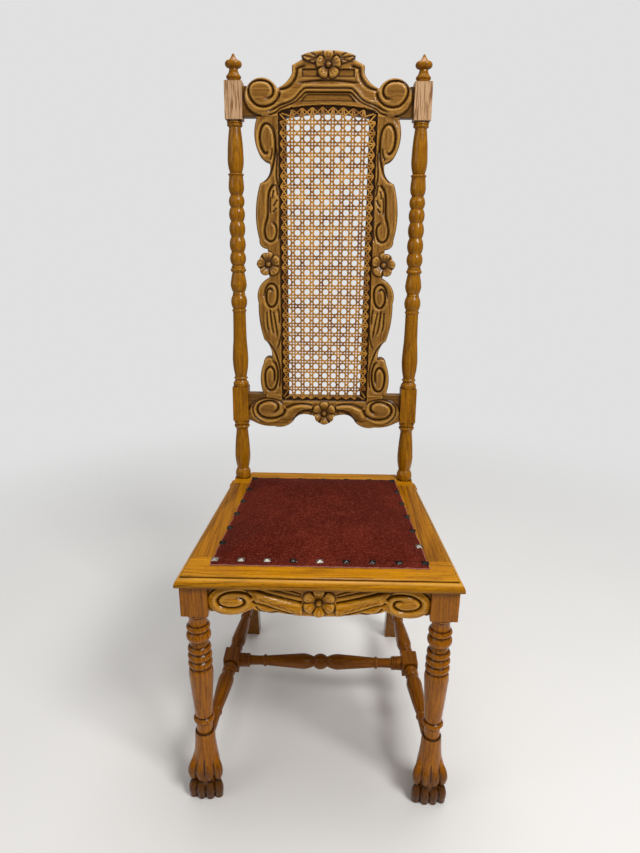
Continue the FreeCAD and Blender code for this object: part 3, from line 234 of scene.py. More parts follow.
def closed_ring(ring):
    """Outline with its first point again at the end."""
    return np.concatenate([ring, ring[:1]])


def depth_inside(points, ring):
    """Distance to an outline, positive inside it."""
    distance = nearest(points, closed_ring(ring))[0]
    return np.where(inside(points, ring), distance, -distance)


def grid_quads(rows, columns, wrap_columns=False):
    """Corner numbers of a grid's quads, with its points stored row by row."""
    last = columns if wrap_columns else columns - 1
    r, c = (g.ravel() for g in np.meshgrid(np.arange(rows - 1), np.arange(last),
                                           indexing="ij"))
    r2, c2 = r + 1, (c + 1) % columns
    return np.stack([r * columns + c, r * columns + c2, r2 * columns + c2,
                     r2 * columns + c], -1)


def band_faces(number, sides):
    """Faces of a closed band: rings of sides points one after the other, and both
    ends."""
    caps = [np.arange(sides)[None], (number * sides - 1 - np.arange(sides))[None]]
    return [grid_quads(number, sides, wrap_columns=True)[:, ::-1]] + caps


def two_sided(rows, columns):
    """Faces of a closed sheet: a grid, its underside stored after it, and the wall
    around them."""
    number = rows * columns
    quads = grid_quads(rows, columns)
    index = np.arange(number).reshape(rows, columns)
    loop = np.concatenate([index[0, :-1], index[:-1, -1], index[-1, :0:-1], index[:0:-1, 0]])
    after = np.roll(loop, -1)
    wall = np.stack([loop, loop + number, after + number, after], -1)
    return [quads, quads[:, ::-1] + number, wall]


def make_piece(name, points, faces, slot, replaced=(), sharp=40, **attributes):
    """Mesh piece from points in millimetres and arrays of face corners. Edges that
    bend by more than the sharp angle stay crisp."""
    mesh = bpy.data.meshes.new(name)
    corner_lists = [row for block in faces for row in block.tolist()]
    mesh.from_pydata((np.asarray(points) * MM).tolist(), [], corner_lists)
    for key, values in attributes.items():
        layer = mesh.attributes.new(key, "FLOAT", "POINT")
        layer.data.foreach_set("value", np.asarray(values, np.float32))
    mesh.shade_smooth()
    mesh.set_sharp_from_angle(angle=math.radians(sharp))
    piece = bpy.data.objects.new(name, mesh)
    bpy.context.scene.collection.objects.link(piece)
    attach(piece, "root")
    if replaced:
        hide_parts(*replaced)
    return piece


class Carving:
    """Relief of a carved board on a lattice of points: height forward of the board's
    face, the darkness in its hollows, painted shade together with dark stain, and how
    far its rim is rounded over, all changed feature by feature."""

    def __init__(self, u, v):
        self.u, self.v = u, v
        self.height = np.zeros(len(u))
        self.stain = np.zeros(len(u))
        self.rounding = np.full(len(u), RIM_ROUNDING)

    def near(self, points, margin):
        """Lattice points close to a curve, with both halves folded onto one."""
        low, high = points.min(0) - margin, points.max(0) + margin
        u, v = np.abs(self.u), self.v
        found = np.flatnonzero((u > low[0]) & (u < high[0]) & (v > low[1]) & (v < high[1]))
        return found, np.stack([u[found], v[found]], -1)

    def along(self, curve, width, fade):
        """Lattice points near a curve, their distance from it as a share of width,
        and a strength that runs out to nothing at the curve's ends."""
        found, here = self.near(curve, width)
        distance, _, along = nearest(here, curve)
        total = np.hypot(*np.diff(curve, axis=0).T).sum()
        strength = (smooth_step(along / (fade[0] * total + 1e-6))
                    * smooth_step((total - along) / (fade[1] * total + 1e-6)))
        return found, distance / width, strength

    def groove(self, points, width, depth, fade=(0.1, 0.1), straight=False):
        """Valley along a curve, cut so that the bands on both sides of it are rounded:
        the cut is depth times the square of (1 - distance / width)."""
        curve = np.asarray(points, float) if straight else through(points)
        found, share, strength = self.along(curve, width, fade)
        self.height[found] -= depth * strength * unit(1 - share) ** 2
        # Painted shade, with stain, along the bottom of the groove.
        dark = strength * unit(1.2 - share / 0.34) * min(1, depth / 2.5)
        self.stain[found] = np.maximum(self.stain[found], dark)

    def ridge(self, points, width, rise, fade=(0.15, 0.15)):
        """Rounded swelling along a curve."""
        found, share, strength = self.along(through(points), width, fade)
        self.height[found] += rise * strength * unit(1 - share ** 2)

    def level(self, ring, rise, soft=1.6, dark=0.8):
        """Raise or sink the area inside an outline, with a soft step at its edge and
        painted shade, with stain, at the step's foot."""
        ring = np.asarray(ring, float)
        found, here = self.near(ring, soft + 3)
        depth = depth_inside(here, ring)
        self.height[found] += rise * smooth_step(depth / soft)
        foot = depth - soft * 0.7 if rise < 0 else -depth
        self.stain[found] = np.maximum(self.stain[found], dark * bell(foot / 1.4))

    def ground(self, where, distance, sunk):
        """Sink the ground beyond the rim of a scroll; distance is how far outside."""
        share = smooth_step(distance / 1.4) * where
        self.height = self.height * (1 - share) - sunk * share
        # Painted shade, with stain, at the rim's foot and over the sunk ground.
        dark = np.where(where, bell((distance - 1.2) / 2.2), 0)
        self.stain = np.maximum(self.stain * (1 - share) + 0.45 * share, dark * 0.95)

    def flower(self, centre, radius, petals, first, rise, boss=0.25):
        """Open flower: petals that dip towards a domed boss, parted by valleys and
        lined with veins."""
        du, dv = self.u - centre[0], self.v - centre[1]
        r = np.hypot(du, dv)
        turn = (np.arctan2(dv, du) - math.radians(first)) * petals / (2 * math.pi)
        off = np.abs(turn - np.round(turn)) * 2
        edge = radius * (0.64 + 0.36 * np.sqrt(unit(1 - off ** 2.3)))
        share = r / edge
        gap = r * np.sin((1 - off) * math.pi / petals)
        lobe = 0.12 + 0.88 * unit(gap / (0.22 * radius)) ** 0.55
        cup = 0.20 + 0.80 * smooth_step((share - boss) / 0.48)
        lip = round_top(unit(share - 0.80) / 0.20)
        vein = 0.07 * np.cos(off * math.pi * 2.5) * smooth_step((share - 0.3) * 3)
        petal = rise * lobe * (cup * lip + vein)
        inner = boss * radius
        seed = r < inner
        dome = rise * (0.45 + 0.65 * round_top(r / inner))
        shape = np.where(seed, dome, petal)
        within = r < edge
        self.height = np.where(within, np.maximum(shape, -1.5), self.height)
        self.rounding[within] = 1.2
        # Painted shade, with stain, in the valleys between the petals, round the boss and on the
        # petals' inner part, and a halo of painted shade round the flower.
        dark = np.maximum(bell(gap / 1.5) * ~seed,
                          bell((r - inner) / (0.10 * radius))) * within
        dark = np.maximum(dark, 0.6 * (1 - smooth_step((share - boss) / 0.35)) * within * ~seed)
        halo = bell((r - edge - 0.4) / 1.9) * ~within
        self.stain = np.maximum(np.where(within, 0, self.stain), np.maximum(dark, halo))


def board_lattice(outline):
    """Square lattice over an outline, whose rim points slide to the closest place of
    the outline. Returns the places, which of the whole lattice they are, its number
    of columns and rows, and the faces, rim points and rim edges."""
    low, high = outline.min(0), outline.max(0)
    number = np.ceil((high - low) / CELL).astype(int) + 1
    step = (high - low) / (number - 1)
    u, v = np.meshgrid(low[0] + step[0] * np.arange(number[0]),
                       low[1] + step[1] * np.arange(number[1]))
    places = np.stack([u.ravel(), v.ravel()], -1)
    quads = grid_quads(number[1], number[0])
    quads = quads[inside(places[quads].mean(1), outline)]
    used, quads = np.unique(quads, return_inverse=True)
    quads = quads.reshape(-1, 4)
    places = places[used]
    edges = np.concatenate([quads[:, [i, (i + 1) % 4]] for i in range(4)])
    keys = edges.min(1) * len(places) + edges.max(1)
    _, first, counts = np.unique(keys, return_index=True, return_counts=True)
    rim_edges = edges[first[counts == 1]]
    rim = np.unique(rim_edges)
    places[rim] = nearest(places[rim], closed_ring(outline))[1]
    return places, used, number, quads, rim, rim_edges


def carved_front(places, used, number, outline, carve):
    """Height forward of the face and darkness at each place of a board's front, which
    takes the relief, small tool marks and a quarter-round rim. The darkness is painted
    shade with stain in sunk places, and is negative for a painted highlight on the
    proud places, where the varnish is also rubbed pale."""
    rim_depth = nearest(places, closed_ring(outline))[0]
    c = Carving(places[:, 0], places[:, 1])
    carve(c)
    fall = unit(1 - rim_depth / c.rounding)
    tools = np.sin(c.u * 0.9 + 2 * np.sin(c.v * 0.31)) * np.sin(c.v * 0.8 + c.u * 0.23)
    height = c.height + TOOL_MARK * tools - c.rounding * (1 - round_top(fall))
    proud = height - levelled(height, used, number)
    rubbed_and_highlit = unit((proud - 0.12) / 0.6)
    sunk = unit((-proud - 0.25) / 1.1)
    stain = np.maximum(c.stain, 0.75 * sunk)
    return height, np.where(stain > 0.05, stain, -rubbed_and_highlit)


def levelled(height, used, number):
    """Average of the height over the lattice square around each point, without the
    places that the board doesn't cover."""
    total, weight = np.zeros((2, number[1] * number[0]))
    total[used], weight[used] = height, 1
    total, weight = (g.reshape(number[1], number[0]) for g in (total, weight))
    for axis in (0, 1):
        total, weight = (sum(np.roll(g, k, axis) for k in range(-LEVEL_REACH, LEVEL_REACH + 1))
                         for g in (total, weight))
    return (total / np.maximum(weight, 1)).ravel()[used]


def board_piece(name, outline, carve, place, thickness, node):
    """Carved board as a closed piece. place turns (u, v, forward) into points."""
    places, used, lattice, quads, rim, rim_edges = board_lattice(outline)
    height, stain = carved_front(places, used, lattice, outline, carve)
    number = len(places)
    front = place(places[:, 0], places[:, 1], height)
    back = place(places[:, 0], places[:, 1], np.full(number, -thickness))
    turn_of = np.zeros(number, int)
    turn_of[rim] = np.arange(len(rim))
    a, b = rim_edges.T
    walls = [place(places[rim, 0], places[rim, 1], level)
             for level in (height[rim] - 1.0, np.full(len(rim), -thickness / 2),
                           np.full(len(rim), 1.0 - thickness))]
    rings = [rim] + [2 * number + i * len(rim) + np.arange(len(rim))
                     for i in range(len(walls))] + [rim + number]
    faces = [quads, quads[:, ::-1] + number]
    for near_ring, far_ring in zip(rings[:-1], rings[1:]):
        faces.append(np.stack([near_ring[turn_of[b]], near_ring[turn_of[a]],
                               far_ring[turn_of[a]], far_ring[turn_of[b]]], -1))
    points = np.concatenate([front, back] + walls)
    dark = np.concatenate([stain, np.full(number, 0.1), np.full(len(walls) * len(rim), 0.25)])
    return make_piece(name, points, faces, "oak", (node,), sharp=60, stain=dark)


def hole_head(x):
    """Height of the drilled holes along the arch above the cane."""
    top, fall, reach = HOLE_ARCH
    return top - fall * (x / reach) ** 2


def drilled_holes():
    """Places of the holes that the cane is threaded through, as (x, along)."""
    side = []
    for j in range(-1, CANE_LAST + 1):
        along = min(CANE_FIRST_ROW + (j + 0.5) * CANE_PITCH_UP, HOLE_SIDE_TOP)
        side.append((HOLE_COLUMNS * cane_pitch(along), along))
    foot = PAIR_COLUMNS * cane_pitch(HOLE_FOOT)
    head = PAIR_COLUMNS * cane_pitch(HOLE_HEAD)
    side = np.array(side)
    return np.concatenate([side, side * [-1, 1],
                           np.stack([foot, np.full(8, HOLE_FOOT)], -1),
                           np.stack([head, hole_head(head)], -1)])


def cane_edge():
    """Outline of the ledge that the cane lies on, as (x, along)."""
    shoulder = CREST_BOTTOM + CANE_RECESS
    top = CREST_BOTTOM + ARCH_RISE + 11.9
    low = LEDGE_COLUMNS * cane_pitch(LEDGE_FOOT)
    high = LEDGE_COLUMNS * cane_pitch(shoulder)
    return arc_path((low, LEDGE_FOOT), [
        (high, shoulder), (high - 9.5, shoulder + 8.1, high - 3.1, shoulder + 5.2),
        (9.5 - high, shoulder + 8.1, 0, top),
        (-high, shoulder, 3.1 - high, shoulder + 5.2), (-low, LEDGE_FOOT)])


def sink_ledge(c, base):
    """Cut the ledge for the cane, and its holes, into a board that starts at base
    along the post."""
    here = np.stack([c.u, c.v + base], -1)
    depth = depth_inside(here, cane_edge())
    share = smooth_step((depth + 0.2) / 0.9)
    c.height = c.height * (1 - share) - CANE_RECESS * share
    # Painted shade, with stain, over the ledge behind the cane and at its foot.
    foot = bell((depth - 0.8) / 1.6)
    c.stain = np.maximum(c.stain * (1 - share), np.maximum(1.05 * foot, 1.0 * share))
    c.rounding[depth > -2] = 0.5
    holes = drilled_holes()
    low, high = here.min(0) - 3, here.max(0) + 3
    for hole in holes[((holes > low) & (holes < high)).all(1)]:
        r = np.hypot(*(here - hole).T)
        c.height -= HOLE_DEPTH * smooth_step(HOLE_RADIUS - r)
        # Painted shade in the hole.
        c.stain = np.maximum(c.stain, smooth_step((4.2 - r) / 1.2) * 1.1)


# Outline of the crest rail, measured from its lower edge.
CREST_PEAK = 109.0
CREST_SCROLL_RADIUS = 31.5
CREST_SCROLL = (121.4, 34.2)


def crest_outline():
    """Crest rail from the front: scroll ends, a stepped shoulder and a leaf peak."""
    end, peak, radius = POST_INNER, CREST_PEAK, CREST_SCROLL_RADIUS
    x, y = CREST_SCROLL
    rim_x = radius * 0.83
    rim_y = math.sqrt(radius ** 2 - rim_x ** 2)
    near = radius * 0.89
    near_y = math.sqrt(radius ** 2 - near ** 2)
    half = arc_path((end, 0), [
        (end, y + rim_y), (x + rim_x, y + rim_y),
        (x - near, y + near_y, x, y + radius),
        (end * 0.42, peak * 0.67, (x - near) * 0.82, peak * 0.535),
        (end * 0.42, peak * 0.787), (end * 0.297, peak * 0.880),
        (end * 0.315, peak * 0.932, end * 0.303, peak * 0.905),
        (0, peak, end * 0.19, peak * 0.988)])
    arch = arc_path((-OPENING_HALF, 0), [(OPENING_HALF, 0, 0, ARCH_RISE)])
    return np.concatenate([half, half[-2::-1] * [-1, 1], arch])


# Carved lines of the crest rail on one half, as (distance from the middle, height).
CREST_SPIRAL = ((88, 44), (90.5, 34), (96, 25.5), (105, 19.5), (116.5, 16.8),
                (128.8, 18.6), (138, 25.5), (143.4, 34), (145.3, 43), (143.4, 51),
                (137.5, 57), (128, 60), (116.8, 59.8), (107.7, 56.5), (101.8, 50.4),
                (99.9, 43.2), (101.1, 37), (105.6, 32.2), (112.5, 30.2), (121, 31.2))
CREST_STEP = ((117, 8.2), (108, 9.6), (100.2, 12.8), (87.6, 19.6),
              (73.8, 23.8), (61.2, 30.1), (51, 40.4), (43.5, 46.6), (36, 47.9), (18, 47.9),
              (-6, 47.9))
CREST_ROLL = ((111.9, 1.5), (96.8, 7), (87.6, 14), (73.8, 19.2), (60, 25),
              (49.5, 33.6), (43, 39.6), (36, 41.0), (18, 41.0), (-6, 41.0))
CREST_RIM = ((91, 45), (76, 48.6), (66.5, 54.8), (60, 63.5), (57.2, 73), (56, 80),
             (48, 83.2), (38, 84.8))
CREST_MOULD = ((57, 56), (40, 58.6), (20, 60.2), (-6, 60.8))
CREST_PANEL = ((48, 80), (48, 66), (16, 66), (16, 80))
CREST_SUNK = ((52, 24.5), (44, 34), (38.5, 38.6), (0, 38.6), (-38.5, 38.6),
              (-44, 34), (-52, 24.5), (-30, 25.5), (0, 26.5), (30, 25.5))
CREST_LEAF = ((49.2, 101.4), (46.5, 95.6), (40, 91.4), (31, 88.4), (22, 86), (8, 86), (8, 112),
              (22, 109), (34, 107.2), (43.5, 104.6))
CREST_LEAF_VEINS = (
    ((47, 100.6), (38, 98.6), (29, 97), (19, 96)),
    ((33, 105.6), (28, 102.6), (22, 99)),
    ((37, 91.4), (31, 93), (24, 94)))


def carve_crest(c):
    """Scroll at each end, roll and steps over the arch, sunk panels, a leaf each side
    of the peak and a five-petalled flower."""
    u = np.abs(c.u)
    x, y = CREST_SCROLL
    from_scroll = np.hypot(u - x, c.v - y)
    c.height += 2.4 * smooth_step((CREST_SCROLL_RADIUS + 2 - from_scroll) / 6)
    c.ridge(CREST_STEP[3:], 8, 2.8, fade=(0.12, 0.001))
    c.groove(CREST_SPIRAL, 6.6, 5.6, fade=(0.04, 0.10))
    c.groove(CREST_STEP, 5.5, 4.2, fade=(0.12, 0.001))
    c.groove(CREST_ROLL, 4.6, 3.8, fade=(0.05, 0.001))
    c.groove(CREST_RIM, 7, 4.6, fade=(0.06, 0.1))
    c.groove(CREST_MOULD, 6, 3.6, fade=(0.15, 0.001))
    c.level(CREST_SUNK, -3.0, soft=1.8)
    c.level(CREST_PANEL, -3.4, soft=1.6)
    c.level(CREST_LEAF, 3.6, soft=2.6, dark=1.0)
    for vein in CREST_LEAF_VEINS:
        c.groove(vein, 4.4, 2.4, fade=(0.15, 0.2))
    c.ground((u > x) & (c.v < 60), from_scroll - CREST_SCROLL_RADIUS, 3.0)
    c.flower((0, CREST_PEAK * 0.787), FLOWER_RADIUS * 0.98, 5, 90, 5.4)
    c.rounding[(u > POST_INNER - 6) & (c.v < 52)] = 0.4
    c.rounding[(c.v < 6) & (u > OPENING_HALF)] = 1.5
    sink_ledge(c, CREST_BOTTOM)


def crest_place(u, v, forward):
    """Crest board coordinates to points of the raked back."""
    return back_place(u, -BACK_THICKNESS / 2 - forward, CREST_BOTTOM + v)


# Lower rail of the back.
LOWER_BELLY = 15.5
LOWER_FLOWER_Y = LOWER_RAIL_HEIGHT * 0.275
LOWER_SPIRAL = ((80, 25), (84.5, 12.5), (97, 4.4), (114, 2), (130, 6.4), (138.5, 17.5),
                (136.5, 29.5), (125, 37.5), (109.5, 39.6), (98, 34), (95.6, 24.2),
                (102.6, 16.4), (113.5, 14.6))
LOWER_WAVE_TOP = ((80, 25), (71, 28.5), (60.6, 32.6), (48, 34.6), (36, 34), (24, 31.4))
LOWER_WAVE_LOW = ((72, -4), (63, 1.5), (54.4, 11.5), (45, 18.4), (36, 20.8), (25, 21.2))
LOWER_RING = ((84, 30), (91, 38.5), (103, 43), (120, 44.4), (136, 40), (145.5, 31),
              (148, 19), (143.5, 6.5), (133, -3.2), (119, -8))
LOWER_BEAD = ((86, 41.8), (-6, 41.8))
LOWER_BAND = ((90, 3), (78, 8), (69, 16), (58, 25.4), (42, 28.5), (24, 27))
LOWER_OVAL = (POST_INNER * 0.76, 17.0, 36.0, 28.0)
LOWER_LEDGE = ((22, 19.6), (36, 19.6), (45, 17), (53, 10.6), (60, 3.4), (66, -2), (60, -6),
               (46, 3), (30, 8))


def lower_outline():
    """Lower rail from the front: straight top, two shallow arches and a flower."""
    end, belly, flower = POST_INNER, LOWER_BELLY, FLOWER_RADIUS
    tall, y = LOWER_RAIL_HEIGHT, LOWER_FLOWER_Y
    foot = OPENING_COLUMNS * cane_pitch(OPENING_FOOT)
    half = arc_path((foot, tall - LOWER_RAIL_TOP + OPENING_FOOT), [
        (foot, tall), (end, tall),
        (end, 0), (end * 0.67, -belly, end * 0.85, -belly * 0.8),
        (end * 0.39, 0, end * 0.485, -belly * 0.85),
        (end * 0.24, tall * 0.19, end * 0.33, tall * 0.15),
        (flower * 0.8, y - flower * 0.26),
        (0, y - flower, flower * 0.62, y - flower * 0.78)])
    return np.concatenate([half, half[-2::-1] * [-1, 1]])


def carve_lower(c):
    """Oval scroll at each end, a wave band to the middle and a six-petalled flower."""
    u = np.abs(c.u)
    x, y, wide, tall = LOWER_OVAL
    oval = np.hypot((u - x) / wide, (c.v - y) / tall)
    c.height += 2.2 * smooth_step((1.05 - oval) / 0.25)
    c.ridge(LOWER_BAND, 11, 4.2, fade=(0.2, 0.02))
    c.groove(LOWER_SPIRAL, 7.5, 6.0, fade=(0.04, 0.10))
    c.groove(LOWER_RING, 5, 3.0, fade=(0.06, 0.15))
    c.groove(LOWER_WAVE_TOP, 7, 4.8, fade=(0.02, 0.02))
    c.groove(LOWER_WAVE_LOW, 6, 4.6, fade=(0.12, 0.02))
    c.groove(LOWER_BEAD, 4, 3.0, fade=(0.05, 0.001), straight=True)
    c.level(LOWER_LEDGE, -3.2, soft=2.0)
    c.ground((u > x) & (c.v > 20), (oval - 1) * 30, 2.4)
    c.flower((0, LOWER_FLOWER_Y), FLOWER_RADIUS * 1.03, 6, 90, 5.2)
    c.rounding[u > POST_INNER - 6] = 0.4
    c.rounding[c.v > LOWER_RAIL_HEIGHT - 4] = 1.0
    sink_ledge(c, LOWER_RAIL_TOP - LOWER_RAIL_HEIGHT)


def lower_place(u, v, forward):
    """Lower rail coordinates to points of the raked back."""
    base = LOWER_RAIL_TOP - LOWER_RAIL_HEIGHT
    return back_place(u, -BACK_THICKNESS / 2 - forward, base + v)


# Back stile, as (distance from the middle, height above the lower rail).
STILE_WIDTH = 58.5
STILE_FLOWER = (111.9, 260.0)
STILE_UPPER_GROOVE = ((109, 466), (113.5, 461), (119, 463.5), (123.8, 473), (125.8, 487),
                      (124, 500), (118.6, 509.4), (111.5, 511.6), (104, 506.4),
                      (99.2, 495.8), (97.3, 477.5), (98.2, 457.9), (101.7, 440.4),
                      (108.7, 422), (120, 408.5))
STILE_UPPER_RING = ((107.5, 448), (103.4, 460), (102.6, 472))
STILE_STRIP_UPPER = ((96.3, 472), (94.5, 457.5), (94.6, 442.7), (95.4, 427.8), (94.3, 413),
                     (89.6, 390.3), (88.6, 367.4), (89.5, 348.2), (90.6, 319), (93.2, 300.3))
STILE_LEAF_LINE = ((97.9, 407.2), (104, 403), (108.5, 395.8), (111.1, 385.4), (112.1, 371),
                   (112.2, 357.6), (113.6, 346), (117, 334.3), (118.8, 320.7), (116.3, 308.9),
                   (108.2, 302.7), (99.9, 307.1), (95.7, 318.9), (97, 330.6), (102.7, 337.4),
                   (108.8, 336.4))
STILE_UPPER_VEINS = (((97.9, 407.2), (95, 399.7), (93.7, 390.2), (89.7, 382.7)),
                     ((105.8, 385.4), (107.4, 374.9), (107.9, 359.6), (106.6, 348)),
                     ((93.8, 379.8), (98.3, 372.1), (102.8, 365.4)),
                     ((95.3, 364.5), (99.4, 359.6), (103.5, 355.8)),
                     ((100.6, 396), (102.6, 388), (103, 379)))
STILE_LOWER_EYE = ((103.9, 202.5), (105.5, 209.8), (110.5, 213.4), (115.5, 208.5),
                   (117.4, 197.4), (115.8, 185.2), (110.1, 177.8), (102.6, 179.1),
                   (97, 187.8), (94.9, 202.6), (96.8, 214.8), (103.7, 222), (112.9, 220.7),
                   (119.2, 209.7), (122, 192.5))
STILE_STRIP_LOWER = ((86.5, 218), (86.5, 190.4), (85.9, 160.7), (87.9, 130.6), (91.1, 110.2),
                     (96.6, 92.3))
STILE_LOWER_VEINS = (((109.7, 174.1), (109.1, 160.4), (107.5, 145.4), (104.6, 130.4),
                      (98.9, 117.8)),
                     ((104.2, 170.4), (101.1, 155.5), (97.5, 135.5), (95.1, 117.8),
                      (94.6, 110.2)),
                     ((116, 170.3), (116.2, 155.3), (114.7, 137.8), (110.3, 124)),
                     ((94.6, 175.5), (92.2, 160.6), (91.9, 140.6)))
STILE_LOWER_NECK = ((122, 111), (112, 104), (104, 93), (97, 76), (91.6, 54), (91, 30), (94, 10))
STILE_LOWER_GROOVE = ((108.3, 71.5), (99.9, 62.5), (95.7, 45.6), (96.9, 27.2), (102.5, 11.8),
                      (111.6, 7.9), (118.8, 15), (121.7, 29.5), (121, 45.2), (114.9, 55.3),
                      (108, 55.9), (102.9, 46.8), (103.1, 29.7), (106.8, 19.1))


# Scrolls as (x, y, half width, half height), and swellings as (line, width, rise).
STILE_OVALS = ((115, 484, 21, 38), (113, 40, 20, 37))
STILE_SWELLINGS = (
    (((106, 424), (118, 402), (122, 376), (124, 352), (126, 330), (122, 308)), 12, 3.0),
    (((103, 396), (101, 376), (99, 356)), 9, 1.6),
    (((123, 200), (124, 180), (120, 156), (112, 132), (106, 112), (100, 90)), 11, 2.8),
    (((100, 168), (97, 148), (94, 128)), 8, 1.4))


def stile_outline():
    """Stile from the front: a scroll, a leaf, a flower, a leaf and a scroll."""
    tall, wide, near = OPENING_HEIGHT, STILE_WIDTH, OPENING_HALF

    def at(across_share, up_share):
        return (near + wide * across_share, tall * up_share)

    def round_flower(radius_share, degrees):
        angle = math.radians(degrees)
        radius = FLOWER_RADIUS * radius_share
        return (STILE_FLOWER[0] + radius * math.cos(angle),
                STILE_FLOWER[1] + radius * math.sin(angle))

    head, foot = (OPENING_COLUMNS * cane_pitch(LOWER_RAIL_TOP + tall * up) for up in (1, 0))
    steps = [
        at(0.90, 1), at(0.845, 0.878) + at(0.99, 0.935), at(0.53, 0.850) + at(0.69, 0.857),
        at(0.50, 0.843), at(0.83, 0.780) + at(0.545, 0.810), at(0.88, 0.585) + at(0.985, 0.680),
        at(0.62, 0.552) + at(0.79, 0.558), round_flower(0.8, 90)]
    for petal, notch in ((60, 30), (0, -30), (-60, -90)):
        steps.append(round_flower(0.8, notch) + round_flower(0.96, petal))
    steps += [
        at(0.56, 0.448), at(0.94, 0.355) + at(0.81, 0.428),
        at(0.76, 0.213) + at(0.91, 0.283), at(0.51, 0.143) + at(0.56, 0.185),
        at(0.79, 0.125) + at(0.66, 0.146), at(0.82, 0.0) + at(0.91, 0.070), (foot, 0)]
    return arc_path((head, tall), steps)


def carve_stile(c):
    """Long scroll above and below, two veined leaves and a five-petalled flower."""
    u = np.abs(c.u)
    for x, y, wide, tall in STILE_OVALS:
        oval = np.hypot((u - x) / wide, (c.v - y) / tall)
        c.height += 2.0 * smooth_step((1 - oval) / 0.3)
    for line, wide, rise in STILE_SWELLINGS:
        c.ridge(line, wide, rise)
    c.groove(STILE_UPPER_GROOVE, 7, 5.6, fade=(0.05, 0.04))
    c.groove(STILE_UPPER_RING, 4.5, 3.0, fade=(0.1, 0.3))
    c.groove(STILE_STRIP_UPPER, 5, 3.4, fade=(0.06, 0.06))
    c.groove(STILE_LEAF_LINE, 6, 4.8, fade=(0.04, 0.06))
    c.groove(STILE_LOWER_EYE, 6, 4.8, fade=(0.08, 0.10))
    for vein in STILE_UPPER_VEINS + STILE_LOWER_VEINS:
        c.groove(vein, 4.4, 3.2, fade=(0.10, 0.25))
    c.groove(STILE_STRIP_LOWER, 4.4, 3.0, fade=(0.06, 0.06))
    c.groove(STILE_LOWER_NECK, 5, 3.6, fade=(0.06, 0.08))
    c.groove(STILE_LOWER_GROOVE, 6.5, 5.2, fade=(0.06, 0.08))
    side = np.sign(c.u.mean())
    c.flower((side * STILE_FLOWER[0], STILE_FLOWER[1]), FLOWER_RADIUS, 5, 90 - side * 6, 5.0)
    c.rounding[(c.v < 2) | (c.v > OPENING_HEIGHT - 2)] = 0.5
    sink_ledge(c, LOWER_RAIL_TOP)


def stile_place(u, v, forward):
    """Stile coordinates to points of the raked back."""
    return back_place(u, -BACK_THICKNESS / 2 - forward, LOWER_RAIL_TOP + v)


# Front seat rail, as (distance from the middle, height above its lower edge).
APRON_HALF = LEG_X - LEG_HALF
APRON_HEIGHT = 56.0
APRON_LOBE = 72.0
APRON_FACE = LEG_Y - LEG_HALF + 6.0
APRON_THICKNESS = 22.0
APRON_SPIRAL = ((108, 29), (117, 38), (131, 41.6), (147, 40), (160, 32.6), (164.4, 24),
                (159.4, 15.6), (146, 11.8), (131.5, 13), (121.6, 19.6), (122, 27),
                (130, 30.6), (140, 28))
APRON_BAND_TOP = ((124, 46), (110, 45.4), (96, 43), (79.4, 37.6), (56, 30.4), (27, 23.4))
APRON_BAND_LOW = ((108, 27), (103, 21.8), (90.4, 19.2), (66.5, 10.4), (44, 3.4), (36, 1.6))
APRON_LEAF_LOW = ((104, 17), (97, 8), (86, 3.4), (74, 4.6), (62, 7))
APRON_LEAF_TOP = (((96, 50.6), (82, 47.8), (62, 43.6), (44, 38.6), (28, 34)),
                  ((66, 50), (52, 47), (38, 43), (28, 39)))
APRON_OVAL = (APRON_HALF - APRON_LOBE / 2, 24.0, APRON_LOBE / 2, 27.0)
APRON_SWELLING = ((108, 34), (88, 29), (68, 20.5), (46, 12.6), (26, 10.6))
APRON_RIPPLES = ((98, 34), (86, 31), (74, 26.4), (62, 21.4), (51, 16.8), (40, 13.6))


def apron_outline():
    """Front rail from the front: straight top and a shallow bow below."""
    half, tall, lobe = APRON_HALF, APRON_HEIGHT, APRON_LOBE
    right = arc_path((half, tall), [
        (half, tall * 0.09),
        (half - lobe, tall * 0.17, half - lobe * 0.46, -tall * 0.055),
        (half * 0.37, tall * 0.05, half * 0.49, tall * 0.035)])
    bow = arc_path(tuple(right[-1]), [(-right[-1][0], right[-1][1], 0, -tall * 0.055)])
    return np.concatenate([right, bow[1:-1], right[::-1] * [-1, 1]])


def carve_apron(c):
    """Scroll at each end, a swelling band that runs down to the middle, leaves above
    and below it, and a six-petalled flower."""
    u = np.abs(c.u)
    x, y, wide, tall = APRON_OVAL
    oval = np.hypot((u - x) / wide, (c.v - y) / tall)
    c.height += 2.4 * smooth_step((1 - oval) / 0.25)
    c.ridge(APRON_SWELLING, 13, 4.4, fade=(0.12, 0.02))
    c.groove(APRON_SPIRAL, 7, 6.0, fade=(0.03, 0.10))
    c.groove(APRON_BAND_TOP, 6.5, 5.0, fade=(0.15, 0.02))
    c.groove(APRON_BAND_LOW, 6, 4.6, fade=(0.03, 0.1))
    c.groove(APRON_LEAF_LOW, 5, 3.6, fade=(0.1, 0.2))
    for vein in APRON_LEAF_TOP:
        c.groove(vein, 5, 2.8, fade=(0.25, 0.02))
    for (x0, y0), (x1, y1) in zip(APRON_RIPPLES[:-1], APRON_RIPPLES[1:]):
        c.groove(((x0, y0 - 2), ((x0 + x1) / 2 - 2, (y0 + y1) / 2 - 4), (x1 - 3, y1 - 7)),
                 3.6, 1.5, fade=(0.4, 0.4))
    c.ground((u > x - 30) & (oval > 1), (oval - 1) * 30, 2.6)
    c.flower((0, APRON_HEIGHT * 0.47), FLOWER_RADIUS * 1.15, 6, 90, 6.0, boss=0.22)
    c.rounding[u > APRON_HALF - 6] = 0.4
    c.rounding[c.v > APRON_HEIGHT - 3] = 0.4


def apron_place(u, v, forward):
    """Front rail coordinates to points."""
    return np.stack([u, APRON_FACE - forward, APRON_BOTTOM + v], -1)


